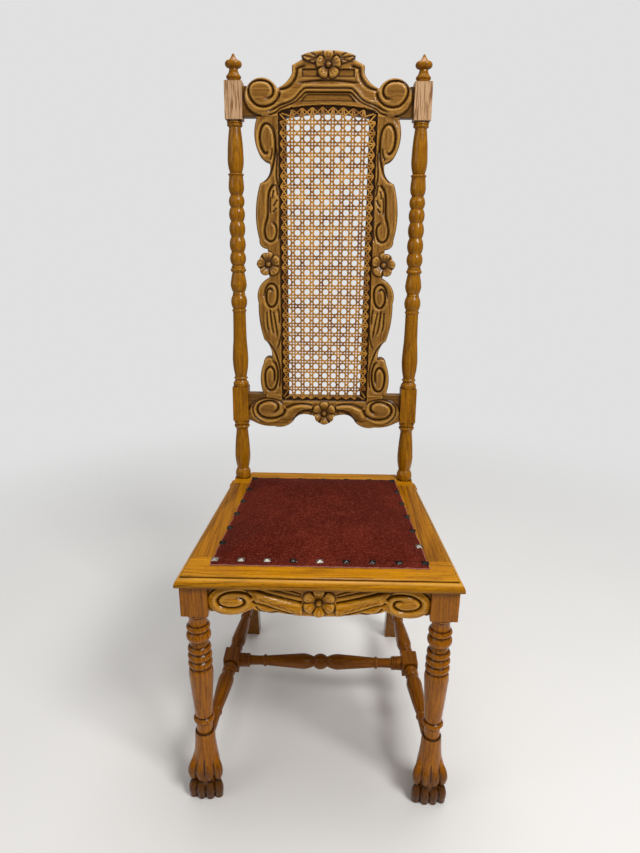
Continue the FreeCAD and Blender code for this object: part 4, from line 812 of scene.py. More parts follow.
# Turning of the front leg: (height above the floor, radius as a share of half the
# block), or with a third value, the radius halfway to the next row.
LEG_RINGS_SHARES = (
    (389.5, 0.86, 0.90), (383.0, 0.84), (381.0, 0.72, 0.675), (370.0, 0.68, 0.70),
    (363.5, 0.76), (362.0, 0.80, 0.885), (353.0, 0.80), (350.5, 0.72), (348.0, 0.80, 0.93),
    (332.0, 0.78), (330.0, 0.70, 0.655), (321.5, 0.71), (319.5, 0.79, 0.885),
    (309.5, 0.80), (307.0, 0.73), (305.0, 0.81, 0.92), (294.0, 0.82), (291.7, 0.74),
    (289.5, 0.83, 0.925), (279.5, 0.83), (277.0, 0.78), (274.5, 0.87, 0.925),
    (256.0, 0.915, 0.80), (173.5, 0.665), (171.5, 0.60), (170.0, 0.70, 0.815),
    (160.0, 0.70), (158.0, 0.60, 0.615), (141.0, 0.62), (138.5, 0.60), (136.8, 0.74, 0.785),
    (122.0, 0.80, 0.82), (104.0, 0.86, 0.91), (80.0, 0.98, 1.04), (55.0, 1.08, 1.08),
    (0.0, 1.04))
# Heights where a dark line of painted shade, with stain, runs round a quirk.
LEG_DARK_LINES = (381.0, 364.0, 350.5, 330.5, 321.0, 307.0, 291.7, 277.0, 171.5, 158.5, 137.5)


def turned_rings(rows, radius):
    """Heights and radii of a turning's rings: straight runs, and parabolas through
    their middle radius."""
    heights, radii = [], []
    for row, after in zip(rows[:-1], rows[1:]):
        drop = row[0] - after[0]
        t = np.arange(0, 1, 1 / max(2, math.ceil(drop / TURNING_STEP)))
        first, last = row[1], after[1]
        if len(row) == 3:
            share = (first * (1 - t) * (1 - 2 * t) + 4 * row[2] * t * (1 - t)
                     + last * t * (2 * t - 1))
        else:
            share = first + (last - first) * t
        heights.append(row[0] - t * drop)
        radii.append(share * radius)
    return (np.concatenate(heights + [[rows[-1][0]]]),
            np.concatenate(radii + [[rows[-1][1] * radius]]))


def hollow_share(heights, radii, reach):
    """How far each ring lies below a straight line over its neighbours: the depth of
    a quirk or a cove."""
    near = np.abs(heights[:, None] - heights[None]) <= reach
    above = np.where(near & (heights[None] >= heights[:, None]), radii[None], 0).max(1)
    below = np.where(near & (heights[None] <= heights[:, None]), radii[None], 0).max(1)
    return np.minimum(above, below) - radii


# Paw, with heights above the floor. Below the ankle the toes spread apart and forward:
# TOE_ACROSS and TOE_FORWARD are a toe's place at the ankle and what the spread adds, and
# the outer toes lie OUTER_BACK further back. A knuckle and a claw are given by their
# middle height and half height, and a tendon runs up from the knuckle. The claw bends
# forward, and stands on a sole. HEEL is the heel's distance behind the axis, its radius
# and its top.
PAW_TOP = 118.0
TOE_SHARES = (-1.0, -0.34, 0.34, 1.0)
TOE_ACROSS = (12.0, 10.5)
TOE_FORWARD = (6.0, 13.5)
OUTER_BACK = 4.2
SPREAD_TOP, SPREAD_SPAN = 104, 50
TOE_RADIUS = 8.9
KNUCKLE_MORE = 0.2
KNUCKLE = (62, 25)
TENDON_SHARE = 0.80
TENDON_TOP, TENDON_SPAN = 108, 30
CLAW = (18, 20.5)
CLAW_BEND, CLAW_TOP = 1.4, 38
SOLE_HEIGHT, SOLE_SHARE = 9, 0.86
HEEL = (13.0, 17.0, 34.0)
TOE_MELT, HEEL_MELT = 2.2, 3.0
LEG_AROUND = 224
PAW_RINGS = 165


def lobe_reach(dx, dy, x, y, r):
    """Distance from the axis, in each direction, to the far side of a circle; zero
    where the direction misses it."""
    ahead = x * dx + y * dy
    room = r * r - (x * x + y * y - ahead ** 2)
    return np.where((room > 0) & (ahead > 0), ahead + np.sqrt(np.clip(room, 0, None)), 0)


def melt(a, b, blend):
    """Larger of two lengths, rounded where they meet over the blend length."""
    share = unit(1 - np.abs(a - b) / np.maximum(blend, 1e-6))
    return np.maximum(a, b) + blend * share ** 2 / 4


def foot_radius(turn, z, shaft):
    """Distance from the leg's axis to its surface: the shaft, four toes of a long
    knuckle over a round claw, and a heel, each an ellipsoid sliced at height z. Also
    how close each place is to the line between two toes."""
    dx, dy = np.cos(turn), np.sin(turn)
    spread = smooth_step((SPREAD_TOP - z) / SPREAD_SPAN)
    blend = 1.0 + 5.0 * smooth_step((z - 66) / 26)
    reach = shaft
    reaches = []
    for share in TOE_SHARES:
        x = share * (TOE_ACROSS[0] + TOE_ACROSS[1] * spread)
        y = -TOE_FORWARD[0] - TOE_FORWARD[1] * spread + OUTER_BACK * share ** 2
        knuckle = (TOE_RADIUS + KNUCKLE_MORE) * round_top((z - KNUCKLE[0]) / KNUCKLE[1])
        tendon = TOE_RADIUS * TENDON_SHARE * smooth_step((TENDON_TOP - z) / TENDON_SPAN)
        tendon = tendon * (z > KNUCKLE[0])
        claw = TOE_RADIUS * round_top((z - CLAW[0]) / CLAW[1])
        sole = TOE_RADIUS * (SOLE_SHARE + 0.04 * z / SOLE_HEIGHT)
        claw = np.where(z < SOLE_HEIGHT, sole, claw)
        r = np.maximum(np.maximum(knuckle, tendon), claw)
        ahead = np.where(z < 40, -CLAW_BEND * np.sin(unit(z / CLAW_TOP) * math.pi), 0)
        reaches.append(lobe_reach(dx, dy, x, y + ahead, r))
    toes = reaches[0]
    for one in reaches[1:]:
        toes = melt(toes, one, TOE_MELT)
    second, first = np.sort(np.stack(reaches), 0)[-2:]
    between = unit(1.25 - (first - second) / 3.2) * (second > 0)
    reach = melt(reach, toes, blend)
    y, r, top = HEEL
    r = r * round_top(np.clip(z - 12, 0, None) / (top - 8))
    return melt(reach, lobe_reach(dx, dy, 0.0, y, r), HEEL_MELT), between


def rounded_block(low, high, bevel):
    """Closed box with rounded arrises: each point of a cube's net is pulled to the
    inner box and pushed out again by the bevel along its own direction."""
    low, high = np.array(low, float), np.array(high, float)
    edge = np.linspace(-1, 1, BLOCK_CUTS + 1)
    edge = np.sign(edge) * (1 - (1 - np.abs(edge)) ** 1.8)
    a, b = (g.ravel() for g in np.meshgrid(edge, edge, indexing="ij"))
    one = np.ones_like(a)
    sides = [(a, b, one), (b, a, -one), (one, a, b), (-one, b, a), (b, one, a), (a, -one, b)]
    quads = grid_quads(BLOCK_CUTS + 1, BLOCK_CUTS + 1)
    points, faces = [], []
    for i, side in enumerate(sides):
        cube = np.stack(side, -1)
        place = (low + high) / 2 + cube * (high - low) / 2
        inner = np.clip(place, low + bevel, high - bevel)
        out = place - inner
        points.append(inner + out / np.maximum(np.linalg.norm(out, axis=1), 1e-9)[:, None] * bevel)
        faces.append(quads[:, ::-1] + i * len(a))
    return weld(np.concatenate(points), np.concatenate(faces))


def weld(points, quads):
    """Merge points that share a place, and turn quads that lose a corner into
    triangles."""
    _, first, inverse = np.unique(np.round(points / WELD_GAP).astype(np.int64), axis=0,
                                  return_index=True, return_inverse=True)
    quads = inverse.reshape(-1)[quads]
    same = quads == np.roll(quads, -1, 1)
    whole = quads[~same.any(1)]
    short = same.sum(1) == 1
    return points[first], [whole, quads[short][~same[short]].reshape(-1, 3)]


def leg_surface():
    """Turned shaft and carved paw as a grid of directions, heights, distances from
    the axis and darkness, painted shade with stain, row by row from the top."""
    heights, radii = turned_rings(LEG_RINGS_SHARES, LEG_HALF)
    # Painted shade, with stain, in the turning's quirks and coves and along its dark lines.
    quirk = 0.9 * smooth_step((hollow_share(heights, radii, 6.0) - 0.6) / 2.4)
    for line in LEG_DARK_LINES:
        quirk = np.maximum(quirk, bell((heights - line) / 1.5))
    upper = heights > PAW_TOP
    low_z = np.linspace(PAW_TOP, 0, PAW_RINGS)
    z = np.concatenate([heights[upper], low_z])
    shaft = np.concatenate([radii[upper], np.interp(low_z, heights[::-1], radii[::-1])])
    turn = np.linspace(0, 2 * math.pi, LEG_AROUND, endpoint=False)
    grid_turn, grid_z = np.meshgrid(turn, z)
    rise = smooth_step((70 - grid_z) / 30)
    core = shaft[:, None] - 1.0 * rise * unit(-np.sin(grid_turn) + 0.2)
    radius, between = foot_radius(grid_turn, grid_z, core)
    radius = radius - 1.1 * (1 - round_top(unit(1 - grid_z / 2.5)))
    over = np.max(np.stack([np.roll(radius, k, 0) for k in range(1, 9)]), 0)
    under = np.max(np.stack([np.roll(radius, -k, 0) for k in range(1, 9)]), 0)
    # The paw gets painted shade in its hollows between the toes, and is darker towards the floor:
    # a little below the ankle and more at the claws.
    in_paw = smooth_step((96 - grid_z) / 16)
    hollow = np.maximum(between, (np.minimum(over, under) - radius - 0.2) / 1.2)
    stain = (unit(hollow) * in_paw + 0.48 * smooth_step((86 - grid_z) / 26)
             + 0.30 * smooth_step((42 - grid_z) / 6))
    stain = np.maximum(stain, np.concatenate([quirk[upper], np.zeros(PAW_RINGS)])[:, None])
    return grid_turn, grid_z, radius, stain


def front_leg(word, side, surface):
    """Block, turned shaft and carved paw as one piece."""
    turn, z, radius, stain = surface
    rows, around = z.shape
    points = np.stack([side * LEG_X + radius * np.cos(turn),
                       LEG_Y + radius * np.sin(turn), z], -1).reshape(-1, 3)
    ends = np.array([[side * LEG_X, LEG_Y, LEG_BLOCK_BOTTOM], [side * LEG_X, LEG_Y, 0]])
    ring = np.arange(around)
    top_fan = np.stack([np.full(around, len(points)), (ring + 1) % around, ring], -1)
    last = (rows - 1) * around
    low_fan = np.stack([np.full(around, len(points) + 1), last + ring,
                        last + (ring + 1) % around], -1)
    quads = grid_quads(rows, around, wrap_columns=True)[:, ::-1]
    points = np.concatenate([points, ends])
    block, block_faces = rounded_block(
        (side * LEG_X - LEG_HALF, LEG_Y - LEG_HALF, LEG_BLOCK_BOTTOM),
        (side * LEG_X + LEG_HALF, LEG_Y + LEG_HALF, SEAT_UNDERSIDE), 1.0)
    faces = [quads, top_fan, low_fan] + [f + len(points) for f in block_faces]
    # The middle of the foot's underside gets painted shade.
    stain = np.concatenate([stain.ravel(), [0, 0.6], np.zeros(len(block))])
    return make_piece("carved_leg_" + word, np.concatenate([points, block]), faces,
                      "oak", ("front_leg_" + word,), stain=unit(stain))


# Caning: strand sizes, and the depth of the weave behind the boards' face. From there
# a pair and each layer of diagonals lie deeper by a little and wave over and under, and
# the ends dip into the holes, where a pair is drawn together.
CANE_WIDTH = 2.7
SLANT_WIDTH = 2.3
CANE_THICKNESS = 0.55
PAIR_SPREAD = 2.8
CANE_DEPTH = -BACK_THICKNESS / 2 + CANE_RECESS - 1.3
STRAND_PROFILE = np.array([(-0.5, 0.1), (-0.28, -0.42), (0.28, -0.42), (0.5, 0.1),
                           (0.3, 0.5), (-0.3, 0.5)])
PAIR_DEPTH, PAIR_WAVE, PAIR_DIP = 0.25, 0.3, 1.2
SLANT_DEPTHS, SLANT_WAVE, SLANT_DIP = {1: -0.55, -1: -0.95}, 0.25, 0.9
DRAWN_SPREAD = 0.6
CORNER_HOLE = (85.0, 713.5)


def cane_spot(column, row):
    """(x, along) of a place given in columns and rows of gaps."""
    along = CANE_FIRST_ROW + row * CANE_PITCH_UP
    return column * cane_pitch(along), along


def strand(corners, depths, width=CANE_WIDTH):
    """One cane strand through corners given as (x, along): a flat band with a domed
    face whose depth runs smoothly through the depths given at the corners."""
    corners = np.asarray(corners, float)
    lengths = np.hypot(*np.diff(corners, axis=0).T)
    at = np.concatenate([[0], np.cumsum(lengths)])
    t = np.linspace(0, at[-1], max(4, int(at[-1] / 3.0)))
    x, along = np.interp(t, at, corners[:, 0]), np.interp(t, at, corners[:, 1])
    line = np.stack([x, along], -1)
    step = np.gradient(line, axis=0)
    aside = np.stack([-step[:, 1], step[:, 0]], -1) / np.hypot(*step.T)[:, None]
    part = np.interp(t, at, np.arange(len(at)))
    low = np.floor(part).astype(int).clip(0, len(at) - 2)
    depths = np.asarray(depths, float)
    ease = smooth_step(part - low)
    depth = CANE_DEPTH + depths[low] * (1 - ease) + depths[low + 1] * ease
    across, forward = STRAND_PROFILE.T
    points = back_place(x[:, None] + aside[:, :1] * across * width,
                        depth[:, None] + forward * CANE_THICKNESS,
                        along[:, None] + aside[:, 1:] * across * width)
    return points.reshape(-1, 3), band_faces(len(t), len(STRAND_PROFILE))


def upright_strands():
    """Pairs between the columns of gaps, drawn together where they enter a hole."""
    made = []
    for column in PAIR_COLUMNS:
        foot = column * cane_pitch(HOLE_FOOT)
        head = column * cane_pitch(HOLE_HEAD)
        for side in (-1, 1):
            rows = [cane_spot(column, r) for r in range(CANE_LAST + 1)]
            corners = ([(foot + side * DRAWN_SPREAD, HOLE_FOOT)]
                       + [(x + side * PAIR_SPREAD, along) for x, along in rows]
                       + [(head + side * DRAWN_SPREAD, hole_head(head))])
            waves = [PAIR_DEPTH + PAIR_WAVE * (-1) ** r * side for r in range(CANE_LAST + 1)]
            made.append(strand(corners, [PAIR_DIP] + waves + [PAIR_DIP]))
    return made


def level_strands():
    """Pairs between the rows of gaps, drawn together where they enter a hole."""
    made = []
    for row in np.arange(CANE_LAST) + 0.5:
        for side in (-1, 1):
            corners, waves = [], []
            for column in [-HOLE_COLUMNS] + list(range(-4, 5)) + [HOLE_COLUMNS]:
                x, along = cane_spot(column, row)
                end = abs(column) == HOLE_COLUMNS
                corners.append((x, along + side * (DRAWN_SPREAD if end else PAIR_SPREAD)))
                waves.append(PAIR_DIP if end else PAIR_DEPTH - PAIR_WAVE * (-1) ** column * side)
            made.append(strand(corners, waves))
    return made


def slanting_strands():
    """Diagonals each way. They cross the pairs midway between gaps, and turn into the
    nearest hole outside the last gaps."""
    made = []
    for k in range(-CANE_LAST - 5, 5):
        first = max(-4.0, k + 0.5)
        last = min(4.0, CANE_LAST + k + 0.5)
        if last - first < 0.4:
            continue
        columns = np.arange(first, last + 0.25, 0.5)
        inner = [cane_spot(c, c - k - 0.5) for c in columns]
        if first > -4:
            x = max((first - 1) * cane_pitch(HOLE_FOOT), -HOLE_COLUMNS * cane_pitch(HOLE_FOOT))
            start = (x, HOLE_FOOT)
        else:
            start = cane_spot(-HOLE_COLUMNS, first - k - 1.5)
        if last < 4:
            x = (last + 1) * cane_pitch(HOLE_HEAD)
            near = min(x, CORNER_HOLE[0])
            end = (near, hole_head(near) - (4.0 if x > CORNER_HOLE[0] - 1 else 0))
        else:
            row = last - k + 0.5
            end = cane_spot(HOLE_COLUMNS, row)
            end = (end[0], min(end[1], CORNER_HOLE[1]))
        corners = [start] + inner + [end]
        for sign in (1, -1):
            bent = [(sign * x, along) for x, along in corners]
            waves = [SLANT_DEPTHS[sign] + SLANT_WAVE * sign * (-1) ** n
                     for n in range(len(inner))]
            made.append(strand(bent, [SLANT_DIP] + waves + [SLANT_DIP], SLANT_WIDTH))
    return made


def cane_panel():
    """Six-way woven cane: pairs upright and across, and diagonals each way that cut
    the corners of every square to leave eight-sided gaps."""
    points, faces, first = [], [], 0
    for strand_points, strand_faces in upright_strands() + level_strands() + slanting_strands():
        points.append(strand_points)
        faces += [f + first for f in strand_faces]
        first += len(strand_points)
    return make_piece("woven_cane", np.concatenate(points), faces, "cane", ("cane_panel",),
                      sharp=70)


# Seat boards. The moulding is a round that swells down to the lower edge, a quirk
# and a small step up to the flat.
SEAT_FRONT = span("seat_board_front")[0][1]
SEAT_HALF_FRONT = span("seat_board_front")[1][0]
FRONT_BOARD_END = span("seat_board_front")[1][1]
REAR_BOARD_START = span("seat_board_rear")[0][1]
BOARD_THICKNESS = SEAT_TOP - SEAT_UNDERSIDE
SIDE_BOARD_WIDTH = 62.0
SEAT_TAPER = 35.0 / 387.0
ROUND_WIDTH = 8.0
ROUND_START = 2.6
ROUND_RISE = 13.2
QUIRK_STEP = ((8.6, 15.0), (9.0, 17.0), (9.8, 18.5), (11.0, 19.0), (12.4, 19.0))
# Painted shade (above 0) in the quirk and on the lower round and edge, and painted highlight
# (below 0) on the top of the round and the step's arris, by row counted back from the last.
QUIRK_SHADE_AND_HIGHLIGHT = {-2: -0.5, -3: -0.3, -4: 0.8, -5: 0.95, -6: 0.2, -7: -0.6, -8: -1.0, -9: -0.8,
               -10: -0.3, -13: 0.15, -14: 0.3, -15: 0.45, -16: 0.6, -17: 0.6, -18: 0.6}


def seat_half(y):
    """Half width of the seat frame at a depth."""
    return SEAT_HALF_FRONT - (y - SEAT_FRONT) * SEAT_TAPER


def edge_moulding():
    """Rows of the moulding as (distance in from the edge, height): a quarter of an
    ellipse from the lower edge to the quirk, then the step."""
    t = np.linspace(0, math.pi / 2, 10)
    swell = np.stack([ROUND_WIDTH * (1 - np.cos(t)), ROUND_START + ROUND_RISE * np.sin(t)], -1)
    return np.concatenate([[(4.0, 0.0), (1.6, 0.0), (0.3, 0.9)], swell, QUIRK_STEP])


def moulded_board(word, path_at, inner):
    """Seat board: the moulding carried along path_at(inset), flat faces above and
    below, and plain walls through the two inner corners."""
    rows = edge_moulding()
    paths = [np.array(path_at(inset)) for inset, _ in rows]
    count, steps = len(rows), len(paths[0])
    ring = np.concatenate([np.column_stack([path, np.full(steps, height)])
                           for path, (_, height) in zip(paths, rows)])
    inner = np.array(inner, float)
    dark = [QUIRK_SHADE_AND_HIGHLIGHT.get(place, 0.0) for place in range(-count, 0)]
    low = np.column_stack([inner, [0, 0]])
    high = np.column_stack([inner, [BOARD_THICKNESS] * 2])
    points = np.concatenate([ring, low, high]) + [0, 0, SEAT_UNDERSIDE]
    number = np.arange(count * steps).reshape(count, steps)
    g_low, h_low, g_high, h_high = count * steps + np.arange(4)
    faces = [grid_quads(count, steps),
             np.array([[*number[-1], g_high, h_high]]),
             np.array([[*number[0], g_low, h_low]])[:, ::-1],
             np.array([[number[0, -1], g_low, g_high, *number[:0:-1, -1]]]),
             np.array([[g_low, h_low, h_high, g_high]]),
             np.array([[h_low, *number[:, 0], h_high]])]
    return make_piece("moulded_board_" + word, points, faces, "oak", ("seat_board_" + word,),
                      stain=np.concatenate([np.repeat(dark, steps), np.zeros(4)]))


def seat_boards():
    """Front board moulded on three edges, and a side board on each side."""
    slope = math.hypot(1, SEAT_TAPER)

    def edge_x(y, inset):
        return seat_half(y) - inset * slope

    def front_path(inset):
        near = SEAT_FRONT + inset
        return [(-edge_x(FRONT_BOARD_END, inset), FRONT_BOARD_END), (-edge_x(near, inset), near),
                (edge_x(near, inset), near), (edge_x(FRONT_BOARD_END, inset), FRONT_BOARD_END)]

    inner_x = seat_half(FRONT_BOARD_END) - SIDE_BOARD_WIDTH
    rear_x = seat_half(REAR_BOARD_START) - SIDE_BOARD_WIDTH
    ends = ((FRONT_BOARD_END, inner_x), (REAR_BOARD_START, rear_x))
    boards = [moulded_board("front", front_path,
                            [(inner_x, FRONT_BOARD_END), (-inner_x, FRONT_BOARD_END)])]
    for word, side in (("left", -1), ("right", 1)):
        order = ends if side > 0 else ends[::-1]
        boards.append(moulded_board(
            word, lambda inset: [(side * edge_x(y, inset), y) for y, _ in order],
            [(side * x, y) for y, x in order[::-1]]))
    return boards


# Velvet pad: the cloth's corners on the seat, its crown, the insets of the nails, the
# lift between them with where it starts and how far it takes to grow, how close to a
# nail or the rim the cloth is held, the crease behind the front row, and how far and
# in how many frames the pad is blown up.
PAD_FRONT = -215.5
PAD_REAR = 136.5
PAD_HALF_FRONT = 180.0
PAD_HALF_REAR = 152.5
PAD_CROWN = 16.0
PAD_SHOULDER = 44.0
CLOTH = 1.6
NAIL_INSET_FRONT = 17.0
NAIL_INSET_SIDE = 6.5
NAIL_INSET_REAR = 7.0
PAD_GRID = (79, 77)
PAD_LIFT = 1.7
LIFT_FROM_NAIL = (5, 14)
LIFT_FROM_RIM = (3, 8)
HELD_BY_NAIL = 9
HELD_BY_RIM = 6
CREASE_DEPTH = 2.0
CREASE_INSET = 25
CREASE_WIDTH = 2.8
PAD_BLOWN = 5.0
BLOWN_FRAMES = 20
FRONT_NAILS = 9
SIDE_NAILS = 7
REAR_NAILS = 7


def pad_half(y):
    """Half width of the cloth at a depth."""
    share = (y - PAD_FRONT) / (PAD_REAR - PAD_FRONT)
    return PAD_HALF_FRONT + share * (PAD_HALF_REAR - PAD_HALF_FRONT)


def nail_rows():
    """Centres of the nails in each row."""
    front_y, rear_y = PAD_FRONT + NAIL_INSET_FRONT, PAD_REAR - NAIL_INSET_REAR
    front_x, rear_x = PAD_HALF_FRONT - NAIL_INSET_SIDE, PAD_HALF_REAR - NAIL_INSET_SIDE
    share = np.arange(1, SIDE_NAILS) / (SIDE_NAILS - 1)
    side_x = front_x + (rear_x - front_x) * share
    side_y = front_y + (rear_y - front_y) * share
    across = np.linspace(-1, 1, FRONT_NAILS) * front_x
    behind = np.linspace(-1, 1, REAR_NAILS)[1:-1] * rear_x
    return {"front": np.stack([across, np.full(FRONT_NAILS, front_y)], -1),
            "rear": np.stack([behind, np.full(len(behind), rear_y)], -1),
            "left": np.stack([-side_x, side_y], -1),
            "right": np.stack([side_x, side_y], -1)}


def pad_rise(x, y):
    """Height of the stuffed crown above the seat: it climbs from the nails over the
    shoulder."""
    side = pad_half(y) - 10 - np.abs(x)
    ends = np.minimum(y - PAD_FRONT - 22, PAD_REAR - 11 - y)

    def climb(d):
        return 1 - unit(1 - d / PAD_SHOULDER) ** 2.3

    return PAD_CROWN * climb(np.clip(side, 0, None)) * climb(np.clip(ends, 0, None))


def frayed(a, b):
    """Small in and out wander of the cut edge along both sides, in millimetres."""
    return 0.7 * np.sin(a * 41 + b * 3) + 0.5 * np.sin(a * 97 + b * 71) + 0.6 * np.sin(b * 53)


def pad_surface():
    """Grid over the cloth, closed underneath: its points, which of them are nailed
    down, and how far each lies from the cut edge."""
    columns, rows = PAD_GRID
    a, b = np.meshgrid(np.linspace(-1, 1, columns), np.linspace(0, 1, rows))
    y = PAD_FRONT + b * (PAD_REAR - PAD_FRONT)
    x = a * pad_half(y)
    nails = np.concatenate(list(nail_rows().values()))
    gap = np.min(np.hypot(x[..., None] - nails[:, 0], y[..., None] - nails[:, 1]), -1)
    rise = pad_rise(x, y)
    rim = np.minimum(pad_half(y) - np.abs(x), np.minimum(y - PAD_FRONT, PAD_REAR - y))
    lift = PAD_LIFT
    for distance, (start, growth) in ((gap, LIFT_FROM_NAIL), (rim, LIFT_FROM_RIM)):
        lift = lift * smooth_step((distance - start) / growth)
    crease = CREASE_DEPTH * bell((y - PAD_FRONT - CREASE_INSET) / CREASE_WIDTH) * (rim > 8)
    z = SEAT_TOP + CLOTH + rise + lift - crease
    fray = frayed(a, b)
    x = x + fray * smooth_step((np.abs(a) - 0.97) / 0.03) * np.sign(a)
    y = y + fray * (smooth_step((0.02 - b) / 0.02) - smooth_step((b - 0.98) / 0.02))
    top = np.stack([x, y, z], -1).reshape(-1, 3)
    bottom = np.stack([x, y, np.full_like(x, SEAT_TOP + 0.05)], -1).reshape(-1, 3)
    nailed = ((rise <= 0.4) & ((gap < HELD_BY_NAIL) | (rim < HELD_BY_RIM))).ravel()
    return (np.concatenate([top, bottom]), np.concatenate([nailed, np.ones_like(nailed)]),
            np.concatenate([rim.ravel(), rim.ravel() * 0]))


def velvet_pad():
    """Velvet cover whose free middle is blown up by a cloth simulation while the
    nailed border is held."""
    points, held, edge = pad_surface()
    columns, rows = PAD_GRID
    pad = make_piece("velvet_pad", points, two_sided(rows, columns), "velvet",
                     ("velvet_cover", "seat_stuffing"), sharp=75, edge=edge)
    inflate(pad, held)
    smooth = pad.modifiers.new("fine_surface", "SUBSURF")
    smooth.levels = smooth.render_levels = 1
    return pad


def inflate(pad, held):
    """Blow the pad up with the cloth solver, holding the points that are nailed down,
    and keep each point close to where it began."""
    mesh = pad.data
    group = pad.vertex_groups.new(name="held")
    for index in np.flatnonzero(held).tolist():
        group.add([index], 1.0, "REPLACE")
    cloth = pad.modifiers.new("filling", "CLOTH")
    cloth.settings.quality = 6
    cloth.settings.mass = 0.3
    cloth.settings.use_pressure = True
    cloth.settings.uniform_pressure_force = 4.0
    cloth.settings.vertex_group_mass = "held"
    cloth.settings.effector_weights.gravity = 0.0
    cloth.point_cache.frame_start = 1
    cloth.point_cache.frame_end = BLOWN_FRAMES
    scene = bpy.context.scene
    for step in range(1, BLOWN_FRAMES + 1):
        scene.frame_set(step)
    shape = pad.evaluated_get(bpy.context.evaluated_depsgraph_get()).to_mesh()
    blown = np.empty(len(mesh.vertices) * 3)
    shape.vertices.foreach_get("co", blown)
    before = np.empty(len(mesh.vertices) * 3)
    mesh.vertices.foreach_get("co", before)
    move = (blown - before).reshape(-1, 3)
    far = np.linalg.norm(move, axis=1, keepdims=True)
    limit = PAD_BLOWN * MM
    move *= np.tanh(far / limit) * limit / np.maximum(far, 1e-9)
    pad.evaluated_get(bpy.context.evaluated_depsgraph_get()).to_mesh_clear()
    pad.modifiers.remove(cloth)
    mesh.vertices.foreach_set("co", (before.reshape(-1, 3) + move).ravel())
    mesh.update()
    scene.frame_set(1)


# How dark each nail's worn plate is: 0 bright, 1 black.
NAIL_WEAR_SHARES = {
    "front": (0.02, 0.08, 0.10, 0.70, 0.12, 0.72, 0.66, 0.70, 0.85),
    "left": (0.90, 0.85, 0.80, 0.75, 0.85, 0.95), "right": (0.30, 0.85, 0.80, 0.85, 0.85, 0.95),
    "rear": (0.8, 0.9, 0.7, 0.85, 0.8)}


# A nail's head: rings as (half width, height), the outline that they share, and its tip.
NAIL_RINGS = ((5.5, 0.0), (5.7, 0.6), (5.2, 1.1), (3.0, 2.3), (0.9, 3.1))
NAIL_OUTLINE = np.array([(-1, -1), (0, -1.03), (1, -1), (1.03, 0), (1, 1), (0, 1.03), (-1, 1),
                         (-1.03, 0)])
NAIL_TIP = 3.15
NAIL_TURN = 9
NAIL_TILT = 0.05


def nail_row(word, places, seed):
    """Square nails with hammered four-sided heads, each a little turned and tilted."""
    draw = np.random.default_rng(seed)
    size = 8 * len(NAIL_RINGS) + 2
    points, faces, tones, first = [], [], [], 0
    for (x, y), worn in zip(places, NAIL_WEAR_SHARES[word]):
        turn = math.radians(draw.uniform(-NAIL_TURN, NAIL_TURN))
        tilt = draw.uniform(-NAIL_TILT, NAIL_TILT, 2)
        uneven = draw.uniform(0.86, 1.08, 8)[:, None]
        layers = []
        for half, height in NAIL_RINGS:
            flat = NAIL_OUTLINE * half * (1 + (uneven - 1) * (height > 0.6))
            layers.append(np.column_stack([flat, np.full(8, height)]))
        head = np.concatenate(layers + [np.array([[0, 0, 0], [0, 0, NAIL_TIP]])])
        head[:, 2] += head[:, 0] * tilt[0] + head[:, 1] * tilt[1]
        spin = np.array([[math.cos(turn), math.sin(turn)], [-math.sin(turn), math.cos(turn)]])
        head[:, :2] = head[:, :2] @ spin
        points.append(head + [x, y, SEAT_TOP + CLOTH - 0.25])
        ring = np.arange(8)
        last = 8 * (len(NAIL_RINGS) - 1)
        faces += [grid_quads(len(NAIL_RINGS), 8, wrap_columns=True) + first,
                  np.stack([ring * 0 + size - 2, (ring + 1) % 8, ring], -1) + first,
                  np.stack([ring * 0 + size - 1, last + ring, last + (ring + 1) % 8], -1) + first]
        tones.append(np.full(size, worn))
        first += size
    return make_piece("square_nails_" + word, np.concatenate(points), faces, "nail_metal",
                      ("seat_nails_" + word,), sharp=18, tone=np.concatenate(tones))


# Webbing and hessian: sizes and margins that keep within their nodes, how far the straps
# wave over and under, and a strap's profile as shares of its width and half its thickness.
STRAP_WIDTH = 50.0
STRAP_THICKNESS = 1.2
STRAP_WAVE = 0.8
STRAP_MARGIN = 14
WEBBING_HALF = 177.8
WEBBING_TAPER = 0.0904
WEBBING_REAR_HALF = 135.4
HESSIAN_REAR_HALF = 134.6
HESSIAN_THICKNESS = 0.5
STRAP_PROFILE = np.array([(-0.5, 0), (-0.48, 0.5), (-0.25, 0.5), (0, 0.5), (0.25, 0.5),
                          (0.48, 0.5), (0.5, 0), (0.48, -0.5), (0.25, -0.5), (0, -0.5),
                          (-0.25, -0.5), (-0.48, -0.5)])


def strap(name, start, end, height_of):
    """Flat jute strap from start to end: a thin closed band that follows height_of."""
    length = math.dist(start, end)
    number = int(length / 4)
    t = np.linspace(0, 1, number)[:, None]
    line = np.array(start) + t * (np.array(end) - np.array(start))
    aside = np.array([-(end[1] - start[1]), end[0] - start[0]]) / length
    across, up = STRAP_PROFILE.T
    x = line[:, :1] + aside[0] * across * STRAP_WIDTH
    y = line[:, 1:] + aside[1] * across * STRAP_WIDTH
    z = height_of(line[:, 0], line[:, 1])[:, None] + up * STRAP_THICKNESS
    points = np.stack([x, y, np.broadcast_to(z, x.shape)], -1).reshape(-1, 3)
    faces = band_faces(number, len(STRAP_PROFILE))
    piece = make_piece(name, points, faces, "webbing", ("seat_webbing",), sharp=70)
    return piece


def over_under(t):
    """Height of a strap that passes over at even whole numbers and under at odd ones."""
    return STRAP_WAVE * np.cos(math.pi * t)


